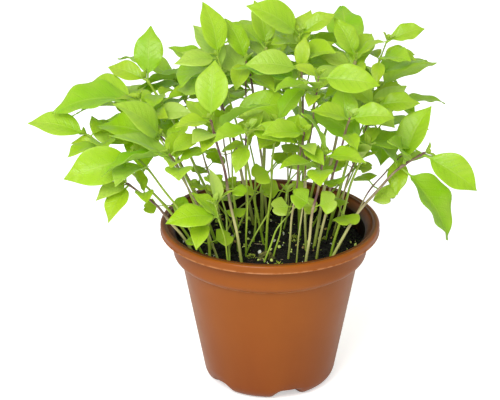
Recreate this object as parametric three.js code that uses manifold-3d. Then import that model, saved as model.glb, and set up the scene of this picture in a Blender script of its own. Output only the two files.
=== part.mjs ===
// A pot of young basil: some forty seedlings standing close together in dark potting soil,
// in a thin brown plastic pot with a rolled lip, a straight collar and five drainage notches.
// Millimetres, +Z up. The origin is the middle of the base, on the surface that the pot stands on.
// -Y is the front of the pot, and +X is its right.
import * as THREE from "three";
import { mergeVertices } from "three/addons/utils/BufferGeometryUtils.js";
import Module from "manifold-3d";

const wasm = await Module();
wasm.setup();

// Driving dimensions of the pot
const POT_HEIGHT = 85;
const LIP_RADIUS = 55;
const LIP_WIDTH = 3.6;
const LIP_HEIGHT = 4.4;
const COLLAR_RADIUS = 48.7;
const COLLAR_HEIGHT = 19.2;
const SHOULDER_ROUND = 5;
const BODY_TOP_RADIUS = 44.4;
const BODY_BOTTOM_RADIUS = 33.2;
const BASE_ROUND = 8;
const WALL = 1.2;
const NOTCHES = 5;
const FIRST_NOTCH_DEG = -72;
const NOTCH_LIFT = 4;
const NOTCH_FLAT_DEG = 6;
const NOTCH_HALF_DEG = 18;
const NOTCH_DEPTH = 6.5;
const DRAIN_RADIUS = 2.2;
const POT_SIDES = 25;

// Driving dimensions of the soil
const SOIL_LEVEL = 73;
const SOIL_CROWN = 1.5;
const SOIL_LUMP = 1;
const SOIL_SIDES = 24;
const GAP = 0.4;

// Driving dimensions of the plants, whose stems are square
const FOOT_RADIUS = 0.9;
const CROWN_RADIUS = 0.65;
const STEM_SIDES = 4;
const STEM_SPANS = 4;
const STEM_DEPTH = 10;
const STEM_BOW = 6;
const BUD_LENGTH = 9;
const BUD_WIDTH = 3.4;
const PETIOLE_RADIUS = 0.5;
const BLADE_THICKNESS = 0.8;
const PAIR_STEP = 8;
const LOW_DROP = 22;
const TALL = 134;
const BARE_FRONT = -13;

// Seedlings. foot: where the stem leaves the soil. crown: the top of the stem. leaves: the way from the
// crown to each tip as right, back and up, then how far the face turns from the sky to the front, in degrees.
// The first two leaves are the upper pair, and the others sit a step lower. A seedling with no leaves listed
// grows two crossed pairs. seed: how far up the stem its seed leaves sit, then the same for their tips.
const SEEDLINGS = [
  { foot: [-37, -6], crown: [-90, -8, 135],
    leaves: [[-30, 2, 6, 30], [11, 14, 2, 10], [-9, -22, -3, 0], [1, 20, 2, 0]] },
  { foot: [-33, -17], crown: [-66, -30, 133],
    leaves: [[-35, -10, -8, 60], [8, 16, 6, 0], [-9, -24, -6, 0]] },
  { foot: [-25, -27], crown: [-49, -38, 137],
    leaves: [[15, 12, 5, 20], [-33, -10, -9, -20], [-33, 4, -2, 0], [5, -22, -4, 10]] },
  { foot: [-29, -8], crown: [-54, -24, 140],
    leaves: [[-25, -14, 22, 38], [-34, 9, 0, 30], [15, 18, 3, 0]] },
  { foot: [-22, 6], crown: [-61, 8, 158],
    leaves: [[2, 12, 24, 0], [-20, 8, 4, 40], [-7, -18, -9, 0], [12, 12, -10, 0]] },
  { foot: [-27, 0], crown: [-64, -2, 151],
    leaves: [[-36, 18, -6, 25], [-44, -8, -3, 5], [26, -8, -4, 35], [-6, 24, -2, 0]] },
  { foot: [-14, -27], crown: [-29, -36, 154],
    leaves: [[2, 12, 27, 0], [-17, -10, 0, 25], [34, -8, -3, -20], [-4, -14, -11, 10]] },
  { foot: [-3, -5], crown: [-26, -8, 176],
    leaves: [[-7, 12, 25, 0], [-21, -10, 0, 35], [-18, 4, 1, 10], [-15, 17, 8, 0]] },
  { foot: [-12, 4], crown: [-12, 2, 170],
    leaves: [[-12, 12, 17, 15], [-5, -17, -9, 10], [14, -16, -6, 0]] },
  { foot: [-4, 13], crown: [-2, 10, 174],
    leaves: [[-6, 12, 21, 0], [-20, 14, 8, 0], [16, 18, -4, 0]] },
  { foot: [15, 7], crown: [14, 2, 184],
    leaves: [[-26, -8, 18, 35], [18, 4, 9, 30], [5, 10, 10, 0], [-14, -14, 0, 0]] },
  { foot: [18, -12], crown: [15, -14, 172],
    leaves: [[-27, -4, 6, 35], [3, 8, 14, 0], [-34, 4, -4, 15]] },
  { foot: [13, -25], crown: [23, -30, 174],
    leaves: [[30, -6, -2, 50], [-12, 6, 4, 10], [-22, -12, -2, 0], [-5, -14, -10, 10]] },
  { foot: [22, -7], crown: [42, 2, 171],
    leaves: [[-11, 8, 19, 20], [14, -8, 13, 20], [9, 18, 8, 0]] },
  { foot: [28, 2], crown: [57, 3, 180],
    leaves: [[19, 4, 5, 30], [-22, -8, 3, 40], [15, -6, -7, 20], [-5, -12, -18, 20]] },
  { foot: [17, -33], crown: [26, -42, 138],
    leaves: [[20, -9, 0, 20], [-15, 2, 20, -10], [-28, 0, 14, 0], [-3, -22, -6, 0]],
    seed: [0.5, [11, -6, 7, 50], [-11, -2, 9, 50]] },
  { foot: [30, -18], crown: [47, -26, 136],
    leaves: [[-30, 8, 14, 30], [7, 12, 6, 0], [-12, -14, 2, 0]],
    seed: [0.35, [4, -16, 1, 30], [-4, 14, 4, 0]] },
  { foot: [29, -26], crown: [76, -12, 127], bow: 16,
    leaves: [[-40, -10, 9, 10], [26, -8, -17, 45], [-22, -24, 8, 30], [1, 6, 24, 10], [12, -12, -42, 10]] },
  { foot: [34, -9], crown: [65, -2, 121], bow: 9,
    leaves: [[-3, -17, -14, 10], [-14, 18, 0, 0], [20, 8, -4, 0]],
    seed: [0.6, [9, -13, -2, 50], [-8, 13, 2, 0]] },
  { foot: [32, 8], crown: [52, -6, 150],
    leaves: [[22, 0, 1, 40], [-14, 10, 11, 35], [6, -22, -6, 35], [16, 18, 3, 10]] },
  { foot: [-2, -11], crown: [3, -24, 147],
    leaves: [[13, 14, 17, 10], [-20, 0, 4, 35], [14, -12, 7, 20], [-8, -16, -4, 0]],
    seed: [0.6, [-9, -12, 1, 50], [9, 12, 3, 0]] },
  { foot: [-16, -12], crown: [-21, -14, 147],
    leaves: [[28, -10, 19, 40], [4, 16, 12, 0], [-10, -16, -4, 0]] },
  { foot: [-38, -14], crown: [-70, -34, 120],
    leaves: [[-15, -10, -5, 15], [-11, -18, -8, 10], [10, -14, -4, 10], [1, 10, 7, 0]] },
  { foot: [-20, -36], crown: [-27, -42, 112],
    leaves: [[-3, 4, 18, -20], [6, 2, 10, -20], [-24, -12, -4, 30], [-16, 6, -2, 20]] },
  { foot: [-29, -30], crown: [-33, -36, 101],
    leaves: [[-3, -19, -7, 25], [-12, -8, -1, 15], [9, 5, 4, 0]] },
  { foot: [-12, -19], crown: [-11, -38, 150],
    leaves: [[-21, -4, 6, 30], [23, -10, -3, 30], [3, 14, 13, 10], [-6, -10, -19, 15], [-16, 8, -17, 15]] },
  { foot: [9, -20], crown: [16, -42, 150],
    leaves: [[20, -4, 1, 30], [-22, -6, -7, 30], [-5, 12, 12, 10], [7, -10, -18, 10], [-14, 10, 5, 15]] },
  { foot: [23, -20], crown: [38, -36, 155],
    leaves: [[22, -4, 2, 35], [-19, -6, 6, 30], [-3, 16, 12, 10], [3, -12, -16, 20]] },
  { foot: [-8, 20], crown: [-30, 26, 157] },
  { foot: [-30, 10], crown: [-70, 22, 138] },
  { foot: [-24, 20], crown: [-46, 44, 142] },
  { foot: [-33, 22], crown: [-66, 56, 118] },
  { foot: [-1, 26], crown: [-12, 44, 160] },
  { foot: [-19, 32], crown: [-28, 68, 140] },
  { foot: [10, 33], crown: [6, 66, 152] },
  { foot: [6, 21], crown: [22, 30, 164] },
  { foot: [18, 25], crown: [40, 50, 152] },
  { foot: [30, 15], crown: [54, 30, 144] },
  { foot: [31, 26], crown: [62, 56, 122] },
  { foot: [16, 40], crown: [24, 76, 120] },
];

const degrees = THREE.MathUtils.degToRad;
const vector = (x, y, z) => new THREE.Vector3(x, y, z);

// The same draws every time, each from 0 to 1
function drawsFrom(seed) {
  let state = seed;
  return () => {
    state = (state * 16807) % 2147483647;
    return state / 2147483647;
  };
}

// A closed skin from rings of points that turn right-handed about the way they follow. It ends in flat caps
// or in points
function skin(rings, firstPoint = null, lastPoint = null) {
  const sides = rings[0].length;
  const points = rings.flat();
  const faces = [];
  for (let ring = 0; ring + 1 < rings.length; ring++) {
    for (let side = 0; side < sides; side++) {
      const a = ring * sides + side;
      const b = ring * sides + ((side + 1) % sides);
      const [c, d] = [a + sides, b + sides];
      // Neighbouring quads split as mirror images, so that both faces of a blade are split alike
      faces.push(...(side % 2 === 0 ? [a, b, d, a, d, c] : [a, b, c, b, d, c]));
    }
  }
  const last = (rings.length - 1) * sides;
  const firstHub = firstPoint ? points.push(firstPoint) - 1 : 0;
  const lastHub = lastPoint ? points.push(lastPoint) - 1 : last;
  const [firstStart, lastStart] = [firstPoint ? 0 : 1, lastPoint ? 0 : 1];
  for (let side = firstStart; side < sides - firstStart; side++) {
    faces.push(firstHub, (side + 1) % sides, side);
  }
  for (let side = lastStart; side < sides - lastStart; side++) {
    faces.push(lastHub, last + side, last + ((side + 1) % sides));
  }
  const geometry = new THREE.BufferGeometry().setFromPoints(points);
  geometry.setIndex(faces);
  return geometry;
}

function solidFrom(geometry) {
  const bare = geometry.clone();
  bare.deleteAttribute("normal");
  bare.deleteAttribute("uv");
  const merged = mergeVertices(bare, 1e-4);
  return new wasm.Manifold(
    new wasm.Mesh({
      numProp: 3,
      vertProperties: new Float32Array(merged.attributes.position.array),
      triVerts: new Uint32Array(merged.index.array),
    }),
  );
}

function geometryFrom(solid) {
  const mesh = solid.getMesh();
  const geometry = new THREE.BufferGeometry();
  geometry.setAttribute("position", new THREE.BufferAttribute(mesh.vertProperties, 3));
  geometry.setIndex(new THREE.BufferAttribute(mesh.triVerts, 1));
  return geometry;
}

// Wall of the pot, from the middle of the base up to the foot of the lip, set in from the outside by an
// inset. Each point is a radius, a height and the share of the lift that it takes from a notch
function wallProfile(inset) {
  const footEdge = BODY_BOTTOM_RADIUS - BASE_ROUND;
  const points = [
    [0, inset, 0],
    [footEdge - NOTCH_DEPTH, inset, 0],
    [footEdge - NOTCH_DEPTH / 2, inset, 0.85],
    [footEdge, inset, 1],
  ];
  const cornerSteps = 3;
  for (let step = 1; step <= cornerSteps; step++) {
    const turn = (step / cornerSteps) * degrees(78);
    const round = BASE_ROUND - inset;
    const share = 1 - (step / cornerSteps) ** 2;
    points.push([footEdge + round * Math.sin(turn), BASE_ROUND - round * Math.cos(turn), share]);
  }
  const shoulder = POT_HEIGHT - COLLAR_HEIGHT + inset * 0.6;
  points.push([BODY_TOP_RADIUS - inset, shoulder - 0.4, 0]);
  const rise = COLLAR_RADIUS - BODY_TOP_RADIUS - 0.7;
  const shoulderSteps = 2;
  for (let step = 0; step <= shoulderSteps; step++) {
    const turn = (step / shoulderSteps) * (Math.PI / 2);
    const radius = BODY_TOP_RADIUS - inset + 0.7 + rise * Math.sin(turn);
    points.push([radius, shoulder + SHOULDER_ROUND * (1 - Math.cos(turn)), 0]);
  }
  return points;
}

// How far a notch lifts the base at this angle, from 0 to 1
function notchAt(angle) {
  const pitch = 360 / NOTCHES;
  const turned = THREE.MathUtils.radToDeg(angle) - FIRST_NOTCH_DEG;
  const off = Math.abs(turned - pitch * Math.round(turned / pitch));
  return 1 - THREE.MathUtils.smoothstep(off, NOTCH_FLAT_DEG, NOTCH_HALF_DEG);
}

// A round skin through the profile, raised at the notches where a point takes a share of their lift
function turnedSkin(profile, sides, heightAt = (height) => height) {
  const rings = profile.slice(1, -1).map(([radius, height, share = 0]) =>
    Array.from({ length: sides }, (_, side) => {
      const angle = (side / sides) * 2 * Math.PI + degrees(FIRST_NOTCH_DEG);
      const lift = share * NOTCH_LIFT * notchAt(angle);
      return vector(radius * Math.cos(angle), radius * Math.sin(angle), heightAt(height) + lift);
    }),
  );
  return skin(rings, vector(0, 0, profile[0][1]), vector(0, 0, profile.at(-1)[1]));
}

function potSolid() {
  const lipIn = LIP_RADIUS - LIP_WIDTH;
  const lipFoot = POT_HEIGHT - LIP_HEIGHT;
  const lip = [
    [COLLAR_RADIUS, lipFoot + 0.4],
    [LIP_RADIUS - 0.7, lipFoot],
    [LIP_RADIUS, lipFoot + 1],
    [LIP_RADIUS, POT_HEIGHT - 1.5],
    [LIP_RADIUS - 1.2, POT_HEIGHT - 0.3],
    [LIP_RADIUS - 2.2, POT_HEIGHT],
    [lipIn + 0.6, POT_HEIGHT],
    [lipIn, POT_HEIGHT - 0.6],
    [COLLAR_RADIUS - WALL + 0.3, lipFoot + 0.2],
  ];
  let pot = solidFrom(turnedSkin([...wallProfile(0), ...lip, ...wallProfile(WALL).reverse()], POT_SIDES));
  const ring = BODY_BOTTOM_RADIUS - BASE_ROUND - 1;
  for (let notch = 0; notch < NOTCHES; notch++) {
    const angle = degrees(FIRST_NOTCH_DEG + (notch * 360) / NOTCHES);
    const drain = new THREE.CylinderGeometry(DRAIN_RADIUS, DRAIN_RADIUS, 3 * NOTCH_LIFT, 8);
    drain.rotateX(Math.PI / 2).translate(ring * Math.cos(angle), ring * Math.sin(angle), NOTCH_LIFT);
    pot = pot.subtract(solidFrom(drain));
  }
  return pot;
}

// A curve is its first point, the point that pulls its middle, and its last point
const curveAt = (curve, along) =>
  vector(0, 0, 0)
    .addScaledVector(curve[0], (1 - along) ** 2)
    .addScaledVector(curve[1], 2 * along * (1 - along))
    .addScaledVector(curve[2], along ** 2);

const wayAt = (curve, along) =>
  vector(0, 0, 0)
    .addScaledVector(curve[0], -2 * (1 - along))
    .addScaledVector(curve[1], 2 - 4 * along)
    .addScaledVector(curve[2], 2 * along)
    .normalize();

// A stem from the soil to its crown: it rises steeply, then leans out. aside moves its middle sideways, and
// rise lifts it
function stemCurve(seedling, aside, rise) {
  const foot = vector(...seedling.foot, SOIL_LEVEL);
  const crown = vector(...seedling.crown);
  const middle = foot.clone().lerp(crown, 0.42);
  const flat = Math.hypot(crown.x - foot.x, crown.y - foot.y);
  middle.x -= (aside * (crown.y - foot.y)) / flat;
  middle.y += (aside * (crown.x - foot.x)) / flat;
  middle.z = (foot.z + crown.z) / 2 + rise + (seedling.bow ?? STEM_BOW);
  return [foot, middle, crown];
}

// A ring round a stem at a share of its length, moved on along the stem and flattened
function stemRing(curve, share, ahead, radius, flatness = 1) {
  const way = wayAt(curve, share);
  const across = vector(0, 1, 0).cross(way).normalize();
  const other = way.clone().cross(across);
  return Array.from({ length: STEM_SIDES }, (_, side) => {
    const turn = (side / STEM_SIDES) * 2 * Math.PI;
    return curveAt(curve, share)
      .addScaledVector(way, ahead)
      .addScaledVector(across, radius * Math.cos(turn))
      .addScaledVector(other, radius * flatness * Math.sin(turn));
  });
}

// A stem from its foot in the soil to its crown, drawn out into the bud of the next two leaves, still folded
function stemSolid(curve) {
  const rings = [stemRing(curve, 0, -STEM_DEPTH, FOOT_RADIUS)];
  for (let span = 0; span <= STEM_SPANS; span++) {
    const share = span / STEM_SPANS;
    rings.push(stemRing(curve, share, 0, THREE.MathUtils.lerp(FOOT_RADIUS, CROWN_RADIUS, share)));
  }
  rings.push(stemRing(curve, 1, 0.4 * BUD_LENGTH, BUD_WIDTH / 2, 0.5));
  const tip = curve[2].clone().addScaledVector(wayAt(curve, 1), BUD_LENGTH);
  return solidFrom(skin(rings, null, tip));
}

// The plain hole in the soil that a stem stands in
function holeSolid(curve) {
  const radius = FOOT_RADIUS + GAP;
  return solidFrom(skin([stemRing(curve, 0, -STEM_DEPTH - GAP, radius), stemRing(curve, 0, 6, radius)]));
}

// The two kinds of leaf. petiole: the share of the length that is stalk. width: against the length of the
// blade. outline: half the width along the blade, from 0 to 1. spread: the share of this width that the blade
// fills. stations: where the solid has a section
const TRUE_LEAF = {
  petiole: 0.14,
  width: 0.64,
  arch: 0.13,
  outline: (share) => 2.967 * share ** 0.62 * (1 - share) ** 1.02,
  spread: 0.88,
  stations: [0.14, 0.42, 0.76],
};
const SEED_LEAF = {
  petiole: 0.34,
  width: 1.25,
  arch: 0.08,
  outline: (share) => Math.min(1, 2.6 * share ** 0.7) * (1 - share ** 3) ** 0.5,
  spread: 1,
  stations: [0.3, 0.8],
};

// Directions at a share of a leaf's length: out of its face and across it
function leafFrame(leaf, share) {
  const way = wayAt(leaf.curve, share);
  const out = leaf.face.clone().addScaledVector(way, -leaf.face.dot(way)).normalize();
  return { out, side: out.clone().cross(way) };
}

// A leaf from node to tip. turn is how far its face turns from the sky towards front, in degrees. The middle
// of the leaf arches out of its face
function leafFrom(kind, node, tip, front, turn, plump, cup) {
  const way = tip.clone().sub(node);
  const length = way.length();
  const forward = way.clone().normalize();
  const face = vector(0, 0, Math.cos(degrees(turn))).addScaledVector(front, Math.sin(degrees(turn)));
  face.addScaledVector(forward, -face.dot(forward)).normalize();
  const middle = node.clone().addScaledVector(way, 0.5).addScaledVector(face, 2 * kind.arch * length);
  const halfWidth = (kind.width * length * (1 - kind.petiole) * plump) / 2;
  return { kind, node, tip, front, turn, plump, cup, curve: [node, middle, tip], face, halfWidth };
}

// A point on the blade at a share of its length, and from -1 to 1 across it
function bladePoint(leaf, share, across) {
  const along = leaf.kind.petiole + (1 - leaf.kind.petiole) * share;
  const { out, side } = leafFrame(leaf, along);
  const half = leaf.halfWidth * leaf.kind.outline(share);
  return curveAt(leaf.curve, along)
    .addScaledVector(side, half * across)
    .addScaledVector(out, leaf.cup * half * across * across);
}

function leafSolid(leaf) {
  const petioleRing = (along) => {
    const { out, side } = leafFrame(leaf, along);
    const centre = curveAt(leaf.curve, along);
    return [side, out, side.clone().negate(), out.clone().negate()].map((direction) =>
      centre.clone().addScaledVector(direction, PETIOLE_RADIUS),
    );
  };
  const bladeRing = (share) => {
    const middle = bladePoint(leaf, share, 0);
    const { out } = leafFrame(leaf, leaf.kind.petiole + (1 - leaf.kind.petiole) * share);
    return [
      bladePoint(leaf, share, leaf.kind.spread),
      middle.clone().addScaledVector(out, BLADE_THICKNESS / 2),
      bladePoint(leaf, share, -leaf.kind.spread),
      middle.clone().addScaledVector(out, -BLADE_THICKNESS / 2),
    ];
  };
  const rings = [petioleRing(0), petioleRing(leaf.kind.petiole), ...leaf.kind.stations.map(bladeRing)];
  return solidFrom(skin(rings, null, leaf.tip));
}

// What stands where, in cells as wide as the clearance that leaves and stems keep
const CLEARANCE = 2;
const cells = new Map();
const cellOf = (value) => Math.floor(value / CLEARANCE);

function occupy(samples, plant) {
  for (const { point, inner } of samples) {
    const key = `${cellOf(point.x)},${cellOf(point.y)},${cellOf(point.z)}`;
    if (!cells.has(key)) cells.set(key, []);
    cells.get(key).push({ point, inner, plant });
  }
}

// A sample near its own stem doesn't count against the same plant
function meetsNeighbour({ point, inner }, plant) {
  for (let cell = 0; cell < 27; cell++) {
    const x = cellOf(point.x) + (cell % 3) - 1;
    const y = cellOf(point.y) + (Math.floor(cell / 3) % 3) - 1;
    const z = cellOf(point.z) + Math.floor(cell / 9) - 1;
    for (const other of cells.get(`${x},${y},${z}`) ?? []) {
      if (other.plant === plant && (inner || other.inner)) continue;
      if (other.point.distanceTo(point) < CLEARANCE) return true;
    }
  }
  return false;
}

function meetsPot(point, margin) {
  const radius = Math.hypot(point.x, point.y);
  const overWall = radius > LIP_RADIUS - LIP_WIDTH - margin && radius < LIP_RADIUS + margin;
  if (overWall) return point.z < POT_HEIGHT + margin;
  return radius < LIP_RADIUS && point.z < SOIL_LEVEL + SOIL_CROWN + 2 * margin;
}

function leafSamples(leaf) {
  const samples = [];
  const rows = 15;
  for (let row = 0; row < rows; row++) {
    const share = (row + 0.5) / rows;
    for (let across = -4; across <= 4; across++) {
      samples.push({ point: bladePoint(leaf, share, across / 4), inner: share < 0.25 });
    }
  }
  samples.push({ point: leaf.tip, inner: false });
  samples.push({ point: curveAt(leaf.curve, leaf.kind.petiole * 0.7), inner: true });
  return samples;
}

// The leaf swung round its stem and lifted, both in degrees, and drawn in
function bentLeaf(leaf, swing, lift, shrink) {
  const way = leaf.tip.clone().sub(leaf.node);
  const heading = Math.atan2(way.y, way.x) + degrees(swing);
  const rise = Math.atan2(way.z, Math.hypot(way.x, way.y)) + degrees(lift);
  const length = way.length() * shrink;
  const tip = leaf.node.clone();
  tip.x += length * Math.cos(heading) * Math.cos(rise);
  tip.y += length * Math.sin(heading) * Math.cos(rise);
  tip.z += length * Math.sin(rise);
  return leafFrom(leaf.kind, leaf.node, tip, leaf.front, leaf.turn, leaf.plump, leaf.cup);
}

// The bends that a leaf may take, the least first
const BENDS = [];
for (const shrink of [1, 0.92, 0.84, 0.74]) {
  for (const lift of [0, 5, -5, 10, -10, 17, -17, 25, -25]) {
    for (const swing of [0, 6, -6, 12, -12, 20, -20, 30, -30]) BENDS.push([swing, lift, shrink]);
  }
}
const bendCost = ([swing, lift, shrink]) => Math.abs(swing) + Math.abs(lift) + 150 * (1 - shrink);
BENDS.sort((one, other) => bendCost(one) - bendCost(other));

// The leaf as it grows among its neighbours, bent clear of them, or null where it finds no room
function settledLeaf(leaf, plant) {
  for (const bend of BENDS) {
    const tried = bentLeaf(leaf, ...bend);
    const samples = leafSamples(tried);
    if (samples.some((sample) => meetsPot(sample.point, 2) || meetsNeighbour(sample, plant))) continue;
    occupy(samples, plant);
    return tried;
  }
  return null;
}

// The point of the stem that lies a number of millimetres below the crown
const nodeBelow = (curve, drop) => curveAt(curve, 1 - drop / (curve[2].z - SOIL_LEVEL));
const FRONT = vector(0, -1, 0);

function listedLeaves(seedling, curve, draw) {
  return seedling.leaves.map(([right, back, up, turn], index) => {
    const node = nodeBelow(curve, index < 2 ? 1 + index / 2 : PAIR_STEP + index);
    const tip = curve[2].clone().add(vector(right, back, up));
    return leafFrom(TRUE_LEAF, node, tip, FRONT, turn, 0.95 + 0.15 * draw(), 0.3 * draw() - 0.1);
  });
}

// Two crossed pairs, turned on from seedling to seedling by the golden angle, facing out of the clump
function ruledLeaves(curve, draw, number) {
  const outward = vector(curve[2].x, curve[2].y, 0).normalize();
  const leaves = [];
  for (let index = 0; index < 4; index++) {
    const pair = Math.floor(index / 2);
    const heading = degrees(number * 137.5 + pair * 90 + (index % 2) * 180 + 24 * (draw() - 0.5));
    const rise = degrees(14 * (1 - pair) + 24 * (draw() - 0.5));
    const length = 31 + 6 * pair + 8 * draw();
    const node = nodeBelow(curve, 1 + pair * PAIR_STEP + (index % 2) / 2);
    const flat = length * Math.cos(rise);
    const way = vector(flat * Math.cos(heading), flat * Math.sin(heading), length * Math.sin(rise));
    const [turn, plump, cup] = [25 * draw(), 0.95 + 0.15 * draw(), 0.3 * draw() - 0.1];
    leaves.push(leafFrom(TRUE_LEAF, node, node.clone().add(way), outward, turn, plump, cup));
  }
  return leaves;
}

// The low leaf that hangs out of the clump on the taller seedlings, to its right or left in turn
function lowLeaves(curve, draw, number) {
  if (curve[2].z < TALL) return [];
  const outward = Math.atan2(curve[2].y, curve[2].x);
  const heading = outward + degrees((number % 2 === 0 ? 1 : -1) * (10 + 45 * draw()));
  const rise = degrees(22 * draw() - 8);
  const length = 28 + 9 * draw();
  const flat = length * Math.cos(rise);
  const way = vector(flat * Math.cos(heading), flat * Math.sin(heading), length * Math.sin(rise));
  const [turn, plump, cup] = [30 * draw(), 0.95 + 0.15 * draw(), 0.3 * draw() - 0.1];
  const node = nodeBelow(curve, LOW_DROP);
  const front = vector(Math.cos(outward), Math.sin(outward), 0);
  return [leafFrom(TRUE_LEAF, node, node.clone().add(way), front, turn, plump, cup)];
}

// The pair of blunt seed leaves, low on a stem that lists them
function seedLeaves(seedling, curve) {
  if (!seedling.seed) return [];
  const [share, ...ways] = seedling.seed;
  const node = curveAt(curve, share);
  return ways.map(([right, back, up, turn]) =>
    leafFrom(SEED_LEAF, node, node.clone().add(vector(right, back, up)), FRONT, turn, 1, -0.1),
  );
}

const STEM_BENDS = [];
for (const rise of [0, 6, 12, 18]) {
  for (const aside of [0, 3, -3, 6, -6, 9, -9, 12, -12]) STEM_BENDS.push([aside, rise]);
}

// Each stem stands clear of the lip and of the stems before it, its middle moved where it has to be
function settledStem(seedling, plant) {
  for (const [aside, rise] of STEM_BENDS) {
    const curve = stemCurve(seedling, aside, rise);
    const samples = [];
    for (let step = 0; step <= 40; step++) samples.push({ point: curveAt(curve, step / 40), inner: true });
    for (const share of [0.35, 0.7, 1]) {
      const point = curve[2].clone().addScaledVector(wayAt(curve, 1), share * BUD_LENGTH);
      samples.push({ point, inner: true });
    }
    const overLip = samples.some(({ point }) => Math.hypot(point.x, point.y) > 45 && meetsPot(point, 1.9));
    if (overLip || samples.some((sample) => meetsNeighbour(sample, plant))) continue;
    occupy(samples, plant);
    return curve;
  }
  throw new Error(`seedling ${plant + 1} has no room for its stem`);
}

// Compost up to just under the lip, level but for its lumps, with a hole for each stem. It follows the wall
// and steps up round the edge of the base, over the notches
function soilSolid(stems) {
  const wall = wallProfile(WALL + GAP).map(([radius, height]) => [radius, height]);
  const [middle, flatEdge] = wall;
  const step = [flatEdge[0], flatEdge[1] + NOTCH_LIFT + GAP / 2];
  const side = wall.slice(6);
  const edge = side.at(-1)[0];
  const draw = drawsFrom(77);
  const top = [1, 0.7, 0.35, 0].map((share) => [
    edge * share,
    SOIL_LEVEL + SOIL_CROWN * (1 - share ** 2),
  ]);
  const roughened = (height) => (height < SOIL_LEVEL ? height : height + SOIL_LUMP * (draw() - 0.5));
  let soil = solidFrom(turnedSkin([middle, flatEdge, step, ...side, ...top], SOIL_SIDES, roughened));
  for (const curve of stems) soil = soil.subtract(holeSolid(curve));
  return soil;
}

const POT_PLASTIC = new THREE.MeshStandardMaterial({ name: "pot plastic", color: 0xa5622e, roughness: 0.38 });
const COMPOST = new THREE.MeshStandardMaterial({ name: "compost", color: 0x17130f, roughness: 1 });
const BASIL = new THREE.MeshStandardMaterial({ name: "basil", color: 0x8cc42c, roughness: 0.55 });

const basilPot = new THREE.Group();

function addPiece(name, solid, material) {
  const mesh = new THREE.Mesh(geometryFrom(solid), material);
  mesh.name = name;
  basilPot.add(mesh);
}

const stems = SEEDLINGS.map(settledStem);
addPiece("pot", potSolid(), POT_PLASTIC);
addPiece("soil", soilSolid(stems), COMPOST);

// The upper leaves of every seedling find their room first, and the low leaves take what is left. The stems that
// lean to the front carry no low leaf
const draw = drawsFrom(2024);
const settledLeaves = (leaves, plant) => leaves.map((leaf) => settledLeaf(leaf, plant)).filter((leaf) => leaf);
const upper = stems.map((curve, plant) => {
  const seedling = SEEDLINGS[plant];
  const grown = seedling.leaves ? listedLeaves(seedling, curve, draw) : ruledLeaves(curve, draw, plant);
  return settledLeaves([...grown, ...seedLeaves(seedling, curve)], plant);
});
const low = stems.map((curve, plant) => {
  const leaves = lowLeaves(curve, draw, plant);
  return curve[2].y > BARE_FRONT ? settledLeaves(leaves, plant) : [];
});
stems.forEach((curve, plant) => {
  const solids = [stemSolid(curve), ...[...upper[plant], ...low[plant]].map(leafSolid)];
  addPiece(`seedling_${String(plant + 1).padStart(2, "0")}`, wasm.Manifold.union(solids), BASIL);
});

export default basilPot;
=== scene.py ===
import math
from types import SimpleNamespace

import bmesh
import bpy
import numpy as np
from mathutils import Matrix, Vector, noise


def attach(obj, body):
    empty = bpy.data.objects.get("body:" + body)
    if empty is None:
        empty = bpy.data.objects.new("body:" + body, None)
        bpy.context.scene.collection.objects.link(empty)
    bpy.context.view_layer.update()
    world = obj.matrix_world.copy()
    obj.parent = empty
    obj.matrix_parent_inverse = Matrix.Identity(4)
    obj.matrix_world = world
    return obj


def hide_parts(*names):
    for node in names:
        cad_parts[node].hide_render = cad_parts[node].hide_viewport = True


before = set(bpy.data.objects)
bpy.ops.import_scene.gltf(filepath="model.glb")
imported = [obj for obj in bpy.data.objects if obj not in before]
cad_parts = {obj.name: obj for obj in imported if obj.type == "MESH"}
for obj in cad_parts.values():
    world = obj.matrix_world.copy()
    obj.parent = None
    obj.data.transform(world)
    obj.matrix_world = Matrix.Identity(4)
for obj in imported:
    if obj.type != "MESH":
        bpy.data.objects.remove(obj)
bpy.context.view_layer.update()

# Studio
# An even white surround, one broad soft lamp high on the front left and a pale matt floor. The camera looks
# down on the front of the pot. Nothing here belongs to the plant. Sizes are in metres.
CAMERA_TARGET = Vector((-0.0100, 0.0, 0.0965))
CAMERA_DISTANCE = 1.5
CAMERA_ELEVATION = math.radians(23.4)
CAMERA_LENS = 216
SURROUND_STRENGTH = 0.72
LAMP_PLACE = Vector((-0.30, -0.85, 0.85))
LAMP_AIM = Vector((0.0, 0.0, 0.11))
LAMP_WIDTH = 0.60
LAMP_POWER = 11.5
FLOOR_SIZE = 6.0
FLOOR_LIFT = 0.50
FLOOR_WHITE = (0.93, 0.93, 0.92, 1)


def node(tree, kind, inputs=(), **settings):
    """A shader node with its settings and inputs. An input is a plain value or another node's output."""
    made = tree.nodes.new("ShaderNode" + kind)
    for name, value in settings.items():
        setattr(made, name, value)
    for name, value in dict(inputs).items():
        if isinstance(value, bpy.types.NodeSocket):
            tree.links.new(value, made.inputs[name])
        else:
            made.inputs[name].default_value = value
    return made


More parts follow.
